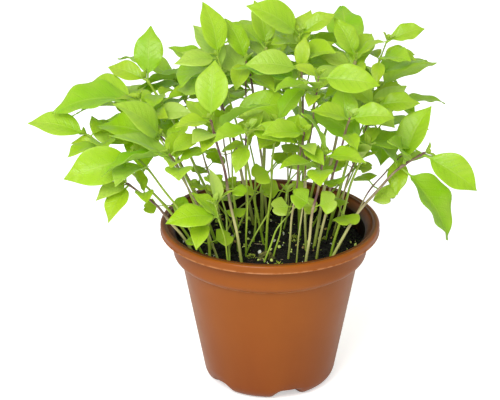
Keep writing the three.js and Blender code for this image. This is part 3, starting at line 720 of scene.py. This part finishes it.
SEEDLINGS = [
    sown((-37, -6), (-90, -8, 135), (-30, 2, 6, 30), (11, 14, 2, 10), (-9, -22, -3, 0), (1, 20, 2, 0)),
    sown((-33, -17), (-66, -30, 133), (-35, -10, -8, 60), (8, 16, 6, 0), (-9, -24, -6, 0)),
    sown((-25, -27), (-49, -38, 137), (15, 12, 5, 20), (-33, -10, -9, -20), (-33, 4, -2, 0),
         (5, -22, -4, 10)),
    sown((-29, -8), (-54, -24, 140), (-25, -14, 22, 38), (-34, 9, 0, 30), (15, 18, 3, 0)),
    sown((-22, 6), (-61, 8, 158), (2, 12, 24, 0), (-20, 8, 4, 40), (-7, -18, -9, 0), (12, 12, -10, 0)),
    sown((-27, 0), (-64, -2, 151), (-36, 18, -6, 25), (-44, -8, -3, 5), (26, -8, -4, 35), (-6, 24, -2, 0)),
    sown((-14, -27), (-29, -36, 154), (2, 12, 27, 0), (-17, -10, 0, 25), (34, -8, -3, -20),
         (-4, -14, -11, 10)),
    sown((-3, -5), (-26, -8, 176), (-7, 12, 25, 0), (-21, -10, 0, 35), (-18, 4, 1, 10), (-15, 17, 8, 0)),
    sown((-12, 4), (-12, 2, 170), (-12, 12, 17, 15), (-5, -17, -9, 10), (14, -16, -6, 0)),
    sown((-4, 13), (-2, 10, 174), (-6, 12, 21, 0), (-20, 14, 8, 0), (16, 18, -4, 0)),
    sown((15, 7), (14, 2, 184), (-26, -8, 18, 35), (18, 4, 9, 30), (5, 10, 10, 0), (-14, -14, 0, 0)),
    sown((18, -12), (15, -14, 172), (-27, -4, 6, 35), (3, 8, 14, 0), (-34, 4, -4, 15)),
    sown((13, -25), (23, -30, 174), (30, -6, -2, 50), (-12, 6, 4, 10), (-22, -12, -2, 0),
         (-5, -14, -10, 10)),
    sown((22, -7), (42, 2, 171), (-11, 8, 19, 20), (14, -8, 13, 20), (9, 18, 8, 0)),
    sown((28, 2), (57, 3, 180), (19, 4, 5, 30), (-22, -8, 3, 40), (15, -6, -7, 20), (-5, -12, -18, 20)),
    sown((17, -33), (26, -42, 138), (20, -9, 0, 20), (-15, 2, 20, -10), (-28, 0, 14, 0), (-3, -22, -6, 0),
         seed=[0.5, (11, -6, 7, 50), (-11, -2, 9, 50)]),
    sown((30, -18), (47, -26, 136), (-30, 8, 14, 30), (7, 12, 6, 0), (-12, -14, 2, 0),
         seed=[0.35, (4, -16, 1, 30), (-4, 14, 4, 0)]),
    sown((29, -26), (76, -12, 127), (-40, -10, 9, 10), (26, -8, -17, 45), (-22, -24, 8, 30), (1, 6, 24, 10),
         (12, -12, -42, 10), bow=16),
    sown((34, -9), (65, -2, 121), (-3, -17, -14, 10), (-14, 18, 0, 0), (20, 8, -4, 0),
         seed=[0.6, (9, -13, -2, 50), (-8, 13, 2, 0)], bow=9),
    sown((32, 8), (52, -6, 150), (22, 0, 1, 40), (-14, 10, 11, 35), (6, -22, -6, 35), (16, 18, 3, 10)),
    sown((-2, -11), (3, -24, 147), (13, 14, 17, 10), (-20, 0, 4, 35), (14, -12, 7, 20), (-8, -16, -4, 0),
         seed=[0.6, (-9, -12, 1, 50), (9, 12, 3, 0)]),
    sown((-16, -12), (-21, -14, 147), (28, -10, 19, 40), (4, 16, 12, 0), (-10, -16, -4, 0)),
    sown((-38, -14), (-70, -34, 120), (-15, -10, -5, 15), (-11, -18, -8, 10), (10, -14, -4, 10),
         (1, 10, 7, 0)),
    sown((-20, -36), (-27, -42, 112), (-3, 4, 18, -20), (6, 2, 10, -20), (-24, -12, -4, 30),
         (-16, 6, -2, 20)),
    sown((-29, -30), (-33, -36, 101), (-3, -19, -7, 25), (-12, -8, -1, 15), (9, 5, 4, 0)),
    sown((-12, -19), (-11, -38, 150), (-21, -4, 6, 30), (23, -10, -3, 30), (3, 14, 13, 10),
         (-6, -10, -19, 15), (-16, 8, -17, 15)),
    sown((9, -20), (16, -42, 150), (20, -4, 1, 30), (-22, -6, -7, 30), (-5, 12, 12, 10), (7, -10, -18, 10),
         (-14, 10, 5, 15)),
    sown((23, -20), (38, -36, 155), (22, -4, 2, 35), (-19, -6, 6, 30), (-3, 16, 12, 10), (3, -12, -16, 20)),
    sown((-8, 20), (-30, 26, 157)),
    sown((-30, 10), (-70, 22, 138)),
    sown((-24, 20), (-46, 44, 142)),
    sown((-33, 22), (-66, 56, 118)),
    sown((-1, 26), (-12, 44, 160)),
    sown((-19, 32), (-28, 68, 140)),
    sown((10, 33), (6, 66, 152)),
    sown((6, 21), (22, 30, 164)),
    sown((18, 25), (40, 50, 152)),
    sown((30, 15), (54, 30, 144)),
    sown((31, 26), (62, 56, 122)),
    sown((16, 40), (24, 76, 120)),
]


def curve_at(curve, along):
    """A point of the curve that starts at its first point, is pulled by its second and ends at its third."""
    along = np.asarray(along, float)[..., None]
    return curve[0] * (1 - along) ** 2 + curve[1] * (2 * along * (1 - along)) + curve[2] * along ** 2


def way_at(curve, along):
    along = np.asarray(along, float)[..., None]
    return unit(curve[0] * (-2 * (1 - along)) + curve[1] * (2 - 4 * along) + curve[2] * (2 * along))


def leaf_frame(leaf, along):
    """Out of the leaf's face and across it, at a share of its length."""
    way = way_at(leaf.curve, along)
    out = unit(leaf.face - way * np.sum(leaf.face * way, axis=-1, keepdims=True))
    return out, np.cross(out, way)


def leaf_from(kind, base, tip, front, turn, plump, cup):
    """A leaf from base to tip whose face turns from the sky towards front by an angle in degrees."""
    way = tip - base
    length = np.linalg.norm(way)
    forward = way / length
    face = UP * math.cos(math.radians(turn)) + front * math.sin(math.radians(turn))
    face = unit(face - forward * face.dot(forward))
    middle = base + way * 0.5 + face * (2 * kind.arch * length)
    half = kind.width * length * (1 - kind.petiole) * plump / 2
    return SimpleNamespace(kind=kind, base=base, tip=tip, curve=np.array([base, middle, tip]), face=face,
                           half=half, length=length, cup=cup, build=(front, turn, plump, cup))


def blade_points(leaf, share, across):
    """Points of the blade at shares of its length, and from -1 to 1 across it."""
    along = leaf.kind.petiole + (1 - leaf.kind.petiole) * share
    out, side = leaf_frame(leaf, along)
    half = leaf.half * leaf.kind.outline(share)
    return curve_at(leaf.curve, along) + side * (half * across)[..., None] \
        + out * (leaf.cup * half * across * across)[..., None]


SAMPLE_SHARES, SAMPLE_ACROSS = (grid.ravel() for grid in np.meshgrid(
    (np.arange(15) + 0.5) / 15, np.arange(-4, 5) / 4, indexing="ij"))
SAMPLE_INNER = np.append(SAMPLE_SHARES < 0.25, [False, True])


def leaf_samples(leaf):
    ends = [leaf.tip, curve_at(leaf.curve, leaf.kind.petiole * 0.7)]
    return np.vstack([blade_points(leaf, SAMPLE_SHARES, SAMPLE_ACROSS), *ends])


class Room:
    """What the seedlings take up, in rows: a point, whether it is close to its stem, and its plant."""

    def __init__(self, rows=np.empty((0, 5))):
        self.rows = rows

    def place(self, points, plant, inner=True):
        added = [points, np.broadcast_to(inner, len(points)), np.full(len(points), plant)]
        self.rows = np.vstack([self.rows, np.column_stack(added)])

    def around(self, low, high):
        """What is placed in a box."""
        places = self.rows[:, :3]
        return Room(self.rows[np.all((places > low - CLEARANCE) & (places < high + CLEARANCE), axis=1)])

    def meets(self, points, plant, inner=True):
        """Whether a point comes too near what is placed. Close to its own stem it doesn't count."""
        near = self.around(points.min(axis=0), points.max(axis=0)).rows
        apart = np.sum((points[:, None] - near[:, :3]) ** 2, axis=-1)
        own = (near[:, 4] == plant) & (np.reshape(inner, (-1, 1)) | (near[:, 3] > 0))
        return bool(np.any((apart < CLEARANCE ** 2) & ~own))


def meets_pot(points, margin):
    radius = np.hypot(points[:, 0], points[:, 1])
    over_wall = (radius > LIP_RADIUS - LIP_WIDTH - margin) & (radius < LIP_RADIUS + margin)
    low = (radius < LIP_RADIUS) & (points[:, 2] < SOIL_LEVEL + SOIL_CROWN + 2 * margin)
    return np.where(over_wall, points[:, 2] < POT_HEIGHT + margin, low)


def towards(heading, rise):
    return np.array([math.cos(rise) * math.cos(heading), math.cos(rise) * math.sin(heading), math.sin(rise)])


def bent_leaf(leaf, swing, lift, shrink):
    """The leaf swung round its stem and lifted, both in degrees, and drawn in."""
    way = leaf.tip - leaf.base
    heading = math.atan2(way[1], way[0]) + math.radians(swing)
    rise = math.atan2(way[2], math.hypot(way[0], way[1])) + math.radians(lift)
    tip = leaf.base + np.linalg.norm(way) * shrink * towards(heading, rise)
    return leaf_from(leaf.kind, leaf.base, tip, *leaf.build)


BENDS = [(swing, lift, shrink) for shrink in (1, 0.92, 0.84, 0.74)
         for lift in (0, 5, -5, 10, -10, 17, -17, 25, -25) for swing in (0, 6, -6, 12, -12, 20, -20, 30, -30)]
BENDS.sort(key=lambda bend: abs(bend[0]) + abs(bend[1]) + 150 * (1 - bend[2]))
SMALL_BENDS = BENDS[:60]


def settled_leaves(leaves, plant, bends=BENDS):
    """The leaves as they grow among their neighbours, bent clear of them. One with no room is left out."""
    settled = []
    for leaf in leaves:
        reach = LEAF_REACH * leaf.length
        nearby = room.around(leaf.base - reach, leaf.base + reach)
        for bend in bends:
            tried = bent_leaf(leaf, *bend)
            points = leaf_samples(tried)
            if not (meets_pot(points, LEAF_MARGIN).any() or nearby.meets(points, plant, SAMPLE_INNER)):
                room.place(points, plant, SAMPLE_INNER)
                settled.append(tried)
                break
    return settled


def stem_curve(seedling, aside, rise):
    foot, crown = np.array([*seedling.foot, SOIL_LEVEL], float), np.array(seedling.crown, float)
    middle = foot + (crown - foot) * STEM_BEND
    flat = math.hypot(crown[0] - foot[0], crown[1] - foot[1])
    middle[0] -= aside * (crown[1] - foot[1]) / flat
    middle[1] += aside * (crown[0] - foot[0]) / flat
    middle[2] = (foot[2] + crown[2]) / 2 + rise + seedling.bow
    return np.array([foot, middle, crown])


def settled_stem(seedling, plant):
    """The stem clear of the lip and of the stems before it, its middle moved where it has to be."""
    for rise in (0, 6, 12, 18):
        for aside in (0, 3, -3, 6, -6, 9, -9, 12, -12):
            curve = stem_curve(seedling, aside, rise)
            bud = curve[2] + way_at(curve, 1) * BUD_LENGTH * np.array([[0.35], [0.7], [1.0]])
            points = np.vstack([curve_at(curve, np.arange(41) / 40), bud])
            over_edge = points[np.hypot(points[:, 0], points[:, 1]) > NEAR_LIP]
            if not (meets_pot(over_edge, STEM_MARGIN).any() or room.meets(points, plant)):
                room.place(points, plant)
                return curve
    raise ValueError("a seedling has no room for its stem")


def draws_from(state):
    """The same draws every time, each from 0 to 1."""
    while True:
        state = state * DRAW_STEP % DRAW_LIMIT
        yield state / DRAW_LIMIT


def node_below(curve, drop):
    return curve_at(curve, 1 - drop / (curve[2][2] - SOIL_LEVEL))


def drawn(draw, least, more):
    return least + more * next(draw)


def drawn_leaf(base, heading, rise, length, front, turn, draw):
    tip = base + length * towards(heading, rise)
    return leaf_from(TRUE_LEAF, base, tip, front, drawn(draw, *turn), drawn(draw, *LEAF_PLUMP),
                     drawn(draw, *LEAF_CUP))


def true_leaves(seedling, curve, draw, number):
    """The leaves listed for a seedling, or two crossed pairs turned on by the golden angle."""
    leaves = []
    for index, (*way, turn) in enumerate(seedling.leaves):
        base = node_below(curve, 1 + index / 2 if index < 2 else PAIR_STEP + index)
        plump, cup = drawn(draw, *LEAF_PLUMP), drawn(draw, *LEAF_CUP)
        leaves.append(leaf_from(TRUE_LEAF, base, curve[2] + np.array(way), FRONT, turn, plump, cup))
    outward = unit(curve[2] * (1, 1, 0))
    for index in range(0 if leaves else 4):
        pair = index // 2
        turned = number * GOLDEN_ANGLE + pair * 90 + (index % 2) * 180
        heading = math.radians(turned + PAIR_STRAY * (next(draw) - 0.5))
        rise = math.radians(PAIR_CLIMB * (1 - pair) + PAIR_STRAY * (next(draw) - 0.5))
        length = drawn(draw, PAIR_LENGTH[0] + PAIR_LONGER * pair, PAIR_LENGTH[1])
        base = node_below(curve, 1 + pair * PAIR_STEP + (index % 2) / 2)
        leaves.append(drawn_leaf(base, heading, rise, length, outward, PAIR_TURN, draw))
    return leaves


def low_leaves(curve, draw, number):
    """The low leaf that hangs out of the clump on the taller seedlings, to its right or left in turn."""
    if curve[2][2] < TALL:
        return []
    outward = math.atan2(curve[2][1], curve[2][0])
    side = 1 if number % 2 == 0 else -1
    heading = outward + math.radians(side * drawn(draw, *LOW_SWING))
    rise = math.radians(drawn(draw, *LOW_CLIMB))
    length = drawn(draw, *LOW_LENGTH)
    base = node_below(curve, LOW_DROP)
    return [drawn_leaf(base, heading, rise, length, towards(outward, 0), LOW_TURN, draw)]


def seed_leaves(seedling, curve):
    """The pair of blunt seed leaves, low on a stem that lists them."""
    if not seedling.seed:
        return []
    share, *ways = seedling.seed
    base = curve_at(curve, share)
    return [leaf_from(SEED_LEAF, base, base + np.array(way), FRONT, turn, 1, -0.1) for *way, turn in ways]


def whorl(base, rng, count, kind, off, climb, length, turn, plump=1, cup=-0.1):
    """Small leaves set evenly round one place of a stem."""
    start = any_turn(rng)
    leaves = []
    for index in range(count):
        heading = start + index * 2 * math.pi / count + rng.uniform(-off, off)
        way = np.array([math.cos(heading), math.sin(heading), rng.uniform(*climb)]) * rng.uniform(*length)
        leaves.append(leaf_from(kind, base, base + way, FRONT, rng.uniform(*turn), plump, cup))
    return leaves


def small_leaves(seedling, curve, rng, number):
    """What fills the room left: seed leaves on every third stem, unless it lists some, and four leaves of
    side shoots under the crown of three in four of the tall stems."""
    leaves = []
    if number % 3 == 0 and not seedling.seed:
        leaves += whorl(curve_at(curve, rng.uniform(0.3, 0.55)), rng, 2, **SEED_PAIR)
    count = 4 if number % 4 < 3 and curve[2][2] > TALL else 0
    place = curve_at(curve, rng.uniform(0.84, 0.95))
    return leaves + whorl(place, rng, count, **SIDE_SHOOT, plump=1.05, cup=0.1)


def traits_from(shade):
    """A leaf's own traits, from its shade."""
    traits = {name: least + (most - least) * (shade * key % 1)
              for name, (key, least, most) in LEAF_TRAITS.items()}
    return SimpleNamespace(shade=shade, **traits)


def blade_edge(leaf, inside, own):
    """Half the blade's width at shares of its length. A true leaf is widest below its middle and pointed."""
    if leaf.kind is not TRUE_LEAF:
        return leaf.half * leaf.kind.outline(inside)
    fullest = own.taper ** own.taper / (1 + own.taper) ** (1 + own.taper)
    drawn_out = 1 - 0.25 * smoothstep(inside, 0.62, 0.97)
    outline = inside ** own.taper * (1 - inside) / fullest * (leaf.kind.spread + own.breadth) * drawn_out
    return leaf.half * outline


def vein_phase(share, across, leaf):
    """A whole number on each side vein: they leave the midrib at a slant and bow towards the tip."""
    reach = np.abs(across) * leaf.kind.outline(share) * leaf.kind.width / 2
    start = share - 0.62 * reach - 0.9 * reach ** 2
    return SIDE_VEINS * (1.25 * start - 0.25 * start ** 2)


def blade_lift(leaf, inside, across, edge, vein, own, fold):
    """How far the blade stands off its plane: cupped, quilted between its side veins, waved along its edge,
    its rim curled down and its halves raised from the midrib."""
    aside = np.abs(across)
    blade_length = leaf.length * (1 - leaf.kind.petiole)
    swell = 0.5 - 0.5 * np.cos(2 * math.pi * vein)
    quilt = own.quilt * blade_length * (swell - 0.4) * aside * (1 - aside ** 3)
    phase = own.wave_count * inside + own.shade * 7 + 0.5 * np.sign(across)
    wave = own.wave * blade_length * aside ** 2.2 * np.sin(2 * math.pi * phase)
    curl = -0.06 * edge * aside ** 6
    keel = own.keel * edge * (np.sqrt(across ** 2 + 0.01) - 0.4) * (1 - 0.6 * inside)
    return (leaf.cup + fold) * edge * across ** 2 + quilt + wave + curl + keel


def add_leaf(skins, leaf, age, shade, grid, fold=0.0):
    """One leaf as a closed skin: a channelled stalk that runs on as the midrib, and a thin blade. age is 0 in
    a new leaf and 1 in a grown one. shade, from 0 to 1, sets the leaf's own colour and traits."""
    kind, own = leaf.kind, traits_from(shade)
    columns, rows = grid
    top = np.cos(np.linspace(0, math.pi, columns))
    top = np.sign(top) * np.abs(top) ** 0.85
    across = np.concatenate([top, top[-2:0:-1]])
    upper = np.concatenate([np.ones(columns), -np.ones(columns - 2)])
    upper[[0, columns - 1]] = 0
    steps = np.linspace(0, 1, rows + 2)[1:-1]
    shares = 0.45 * steps + 0.55 * (0.5 - 0.5 * np.cos(math.pi * steps))
    stalk_shares = np.array([0.0, 0.35, 0.7, 0.93])
    along = np.concatenate([stalk_shares * kind.petiole, kind.petiole + (1 - kind.petiole) * shares])
    share = np.concatenate([stalk_shares - 1, shares])[:, None]
    inside = np.clip(share, 1e-4, 1)
    blade = smoothstep(share, 0, 0.06)

    stalk = min(PETIOLE_RADIUS, PETIOLE_SHARE * leaf.length)
    edge = np.where(share > 0, np.maximum(blade_edge(leaf, inside, own), stalk * (1 - inside) ** 2), stalk)
    rib = stalk * (1 - 0.85 * inside)
    ridge = np.exp(-(np.abs(across) * edge / np.maximum(0.9 * rib, 0.05)) ** 2)
    skin = BLADE_SKIN * np.sqrt(np.clip(1.02 - np.abs(across) ** 6, 0, 1)) * (1 - 0.5 * inside ** 4)
    round_stalk = stalk * np.sqrt(np.clip(1 - across ** 2, 0, 1))
    above = (1 - blade) * round_stalk * 0.75 + blade * (skin - 0.55 * rib * ridge)
    below = (1 - blade) * round_stalk + blade * (skin + 0.85 * rib * ridge)
    depth = np.where(upper > 0, above, np.where(upper < 0, -below, 0))
    vein = vein_phase(inside, across, leaf)
    rise = depth + blade * blade_lift(leaf, inside, across, edge, vein, own, fold)

    out, side = leaf_frame(leaf, along)
    twist = own.twist * np.clip(along, 0, 1)[:, None] ** 2
    out, side = out * np.cos(twist) + side * np.sin(twist), side * np.cos(twist) - out * np.sin(twist)
    blade_length = leaf.length * (1 - kind.petiole)
    droop = own.droop * blade_length
    centre = curve_at(leaf.curve, along) - out * droop * inside ** 3
    rings = centre[:, None] + side[:, None] * (edge * across)[..., None] + out[:, None] * rise[..., None]
    drawn_back = kind.notch * blade_length * np.exp(-(across / 0.3) ** 2) * inside ** 5
    rings = rings - way_at(leaf.curve, along)[:, None] * drawn_back[..., None]
    tip = leaf.tip - way_at(leaf.curve, 1.0) * kind.notch * blade_length - out[-1] * droop
    skins.add(rings, slot=0, last=tip, along=np.broadcast_to(share, depth.shape), across=across[None] * blade,
              vein=vein, age=age, shade=shade, under=(upper < 0)[None] * 1.0)


def add_stem(skins, curve, leaves, purple, girth):
    """A stem from its foot in the soil to its crown, slightly square and thicker at its nodes. It wanders a
    little off its curve."""
    below = np.linspace(-STEM_DEPTH, 0, 5)[:-1]
    shares = np.linspace(0, 1, STEM_STEPS)
    centre = np.vstack([curve[0] + way_at(curve, 0) * below[:, None], curve_at(curve, shares)])
    shares = np.concatenate([np.zeros(len(below)), shares])
    way = way_at(curve, shares)
    sideways = beside(way)
    wander = STEM_WANDER * np.sin(math.pi * shares) * np.sin(shares * (9 + 5 * purple) + 20 * girth)
    centre = centre + sideways * wander[:, None]
    radius = girth * (FOOT_RADIUS + (CROWN_RADIUS - FOOT_RADIUS) * shares)
    for leaf in leaves:
        off_node = np.linalg.norm(centre - leaf.base, axis=1)
        radius = radius * (1 + NODE_SWELL * np.exp(-(off_node / NODE_REACH) ** 2))
    square = radius[:, None] * (1 + STEM_SQUARE * np.cos(4 * round_turns(STEM_SIDES)))
    rings = round_sections(centre, way, sideways, square, STEM_SIDES)
    tip = curve[2] + way_at(curve, 1) * 0.8
    skins.add(rings, slot=1, last=tip, along=np.broadcast_to(shares[:, None], square.shape), age=purple)


def add_bud(skins, curve, rng):
    """The next leaves at the top of a stem: a small pair that opens, crossed by a smaller, upright pair."""
    way = way_at(curve, 1)
    side = beside(way)
    side = unit(side + 0.8 * rng.normal() * np.cross(way, side))
    for length, lean, plump in BUD_PAIRS:
        for turn in (1, -1):
            slant = math.radians(lean * rng.uniform(0.7, 1.15))
            reach = length * rng.uniform(0.75, 1.0)
            tip = curve[2] + reach * (way * math.cos(slant) + side * turn * math.sin(slant))
            leaf = leaf_from(TRUE_LEAF, curve[2], tip, FRONT, 0, plump, 0.2)
            leaf.face = unit(way - side * turn * 0.4)
            leaf.curve[1] = (curve[2] + tip) / 2 + way * 0.16 * reach
            add_leaf(skins, leaf, BUD_AGE, rng.uniform(0, 0.6), BUD_GRID, fold=0.15)
        side = np.cross(way, side)


def leaf_material():
    """Soft basil leaf: yellow-green and part translucent, satin above, paler and duller below. It is darker
    towards its heart and near its side veins with painted shade, a few leaves are paled by a painted sheen,
    and its veins and rim are a little pale. New leaves are lime."""
    make = Finish("basil_leaf")
    across, along, under = make.value("across"), make.value("along"), make.value("under")
    age, shade = make.value("age"), make.value("shade")
    aside = make.maths("ABSOLUTE", across)
    # The side veins of one half stand a little further on than those of the other.
    phase = make.maths("ADD", make.value("vein"), make.times(make.maths("GREATER_THAN", across, 0.0), 0.38))
    from_vein = make.maths("SUBTRACT", make.maths("FRACT", make.maths("ADD", phase, 0.5)), 0.5)
    off_vein = make.maths("ABSOLUTE", from_vein)
    side_vein = make.times(make.ramp(off_vein, 0.09, 0.0), make.ramp(aside, 0.9, 0.3))
    midrib = make.ramp(aside, 0.07, 0.02)
    veins = make.maths("MAXIMUM", side_vein, midrib)
    # Painted shade: darker towards the midrib and the foot of the blade.
    painted_shade_heart = make.times(make.ramp(aside, 0.75, 0.0), make.ramp(along, 0.75, 0.0))
    patches = mottle(make, 95.0, 3.0)[1]
    # Painted shade in the sunken furrows by the side veins, stronger in patches.
    painted_shade_in_veins = make.times(make.ramp(off_vein, 0.40, 0.05), make.ramp(patches, 0.35, 0.65, 0.05, 0.26))
    tone = make.blend(
        LEAF_YOUNG,
        (age, LEAF_GROWN),
        (make.times(make.ramp(shade, 0.45, 1.0), make.times(age, 0.85)), LEAF_DEEP),
        (make.ramp(patches, 0.42, 0.64, 0.0, 0.42), LEAF_PALE),
        # Painted sheen: leaves with a low shade value are paled towards a whitish green.
        (make.ramp(shade, 0.24, 0.06, 0.0, 0.50), LEAF_PAINTED_SHEEN),
        (painted_shade_in_veins, LEAF_PAINTED_SHADE),
        (make.times(painted_shade_heart, 0.52), LEAF_PAINTED_SHADE),
        (make.times(side_vein, 0.12), LEAF_PALE),
        (make.times(midrib, 0.34), LEAF_VEIN),
        (make.ramp(aside, 0.90, 1.0, 0.0, 0.30), LEAF_VEIN),
        (make.times(under, 0.40), LEAF_UNDER),
    )
    glow = make.blend(GLOW_YOUNG, (age, GLOW_GROWN), (make.times(veins, 0.15), LEAF_VEIN))

    place = node(make.tree, "TexCoord").outputs["Object"]
    net = node(make.tree, "TexVoronoi", {"Vector": place, "Scale": 900.0}, feature="DISTANCE_TO_EDGE")
    cells = make.ramp(net.outputs["Distance"], 0.0, 0.35, 0.0, 0.35)
    height = make.maths("SUBTRACT", cells, make.times(veins, 0.55))
    relief = make.bump(make.times(height, make.ramp(under, 0.0, 1.0, 1.0, -1.0)), 0.36, 0.0005)
    face = make.shader(Base_Color=tone, Roughness=make.ramp(under, 0.0, 1.0, 0.35, 0.60), Normal=relief,
                       Specular_IOR_Level=0.50, Sheen_Weight=0.18, Sheen_Roughness=0.35)
    through = node(make.tree, "BsdfTranslucent", {"Color": glow, "Normal": relief})
    return make.done(node(make.tree, "MixShader", {0: 0.40, 1: face.outputs[0], 2: through.outputs[0]}))


def stem_material():
    """Tender square stem: green at the soil and darkened there by painted shade, cream above it, then pale
    green or, on many, purple-brown.
    """
    make = Finish("basil_stem")
    up = make.value("along")
    flushed = make.ramp(make.value("age"), 0.52, 0.72)
    low, middle, top = (make.blend(green, (flushed, red)) for green, red in zip(GREEN_STEM, FLUSHED_STEM))
    mottled = make.ramp(mottle(make, 160.0, 3.0)[1], 0.3, 0.6, 0.6)
    to_top = make.times(make.ramp(up, 0.22, 0.52), mottled)
    # The low colours carry painted shade near the soil.
    tone = make.blend(low, (make.ramp(up, 0.0, 0.24), middle), (to_top, top))
    return make.done(make.shader(Base_Color=tone, Roughness=0.34, Specular_IOR_Level=0.45))


room = Room()
stems = [settled_stem(seedling, plant) for plant, seedling in enumerate(SEEDLINGS)]
leaf_skin, stem_skin = leaf_material(), stem_material()
draw = draws_from(2024)
looks = np.random.default_rng(11)
plants = list(zip(range(len(stems)), SEEDLINGS, stems))
upper = [settled_leaves(true_leaves(seedling, curve, draw, plant) + seed_leaves(seedling, curve), plant)
         for plant, seedling, curve in plants]
low = []
for plant, curve in enumerate(stems):
    leaves = low_leaves(curve, draw, plant)
    low.append(settled_leaves(leaves, plant) if curve[2][1] > BARE_FRONT else [])
small = [settled_leaves(small_leaves(seedling, curve, looks, plant), plant, SMALL_BENDS)
         for plant, seedling, curve in plants]
for plant, curve in enumerate(stems):
    skins = Skins(*GROWTH_VALUES)
    leaves = upper[plant] + low[plant] + small[plant]
    add_stem(skins, curve, leaves, looks.uniform(), 0.5 + 0.6 * looks.uniform() ** 1.5)
    for leaf in leaves:
        grown = 0.35 + 0.65 * float(np.clip((leaf.length - 12) / 20, 0, 1))
        grid = BLADE_GRID if leaf.length > 20 else SMALL_GRID
        add_leaf(skins, leaf, grown if leaf.kind is TRUE_LEAF else SEED_AGE, looks.uniform(), grid)
    add_bud(skins, curve, looks)
    piece = skins.piece(f"basil_plant_{plant + 1:02d}", leaf_skin, stem_skin)
    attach(piece, "root")
    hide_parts(f"seedling_{plant + 1:02d}")

# Late seedlings
# Weak seedlings that came up last under the others: thin yellow-green stems that lean every way for light and
# carry little more than their pair of blunt seed leaves. They root in the compost as the grown ones do.
LATE_SEEDLINGS = 11
LATE_SPREAD = 37
LATE_CROWN_SPREAD = 44
LATE_PAIR = {"kind": SEED_LEAF, "off": 0.3, "climb": (-0.2, 0.4), "length": (9, 13), "turn": (10, 55)}
late_rng = np.random.default_rng(29)
late_skins = Skins(*GROWTH_VALUES)
sprouted = 0
while sprouted < LATE_SEEDLINGS:
    x, y = on_soil(late_rng, LATE_SPREAD)
    tall, heading = late_rng.uniform(24, 66), any_turn(late_rng)
    reach = tall * late_rng.uniform(0.3, 0.85)
    crown = (x + reach * math.cos(heading), y + reach * math.sin(heading), SOIL_LEVEL + tall)
    curve = stem_curve(sown((x, y), crown), late_rng.uniform(-4, 4), 0)
    points = curve_at(curve, np.arange(31) / 30)
    plant = len(SEEDLINGS) + sprouted
    if np.hypot(*curve[2][:2]) > LATE_CROWN_SPREAD or room.meets(points[2:], plant):
        continue
    room.place(points, plant)
    leaves = settled_leaves(whorl(curve[2], late_rng, 2, **LATE_PAIR), plant, SMALL_BENDS)
    add_stem(late_skins, curve, leaves, late_rng.uniform(0, 0.6), late_rng.uniform(0.45, 0.7))
    for leaf in leaves:
        add_leaf(late_skins, leaf, late_rng.uniform(0.3, 0.7), late_rng.uniform(0, 0.6), SMALL_GRID)
    add_bud(late_skins, curve, late_rng)
    sprouted += 1
late = late_skins.piece("late_seedlings", leaf_skin, stem_skin)
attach(late, "root")
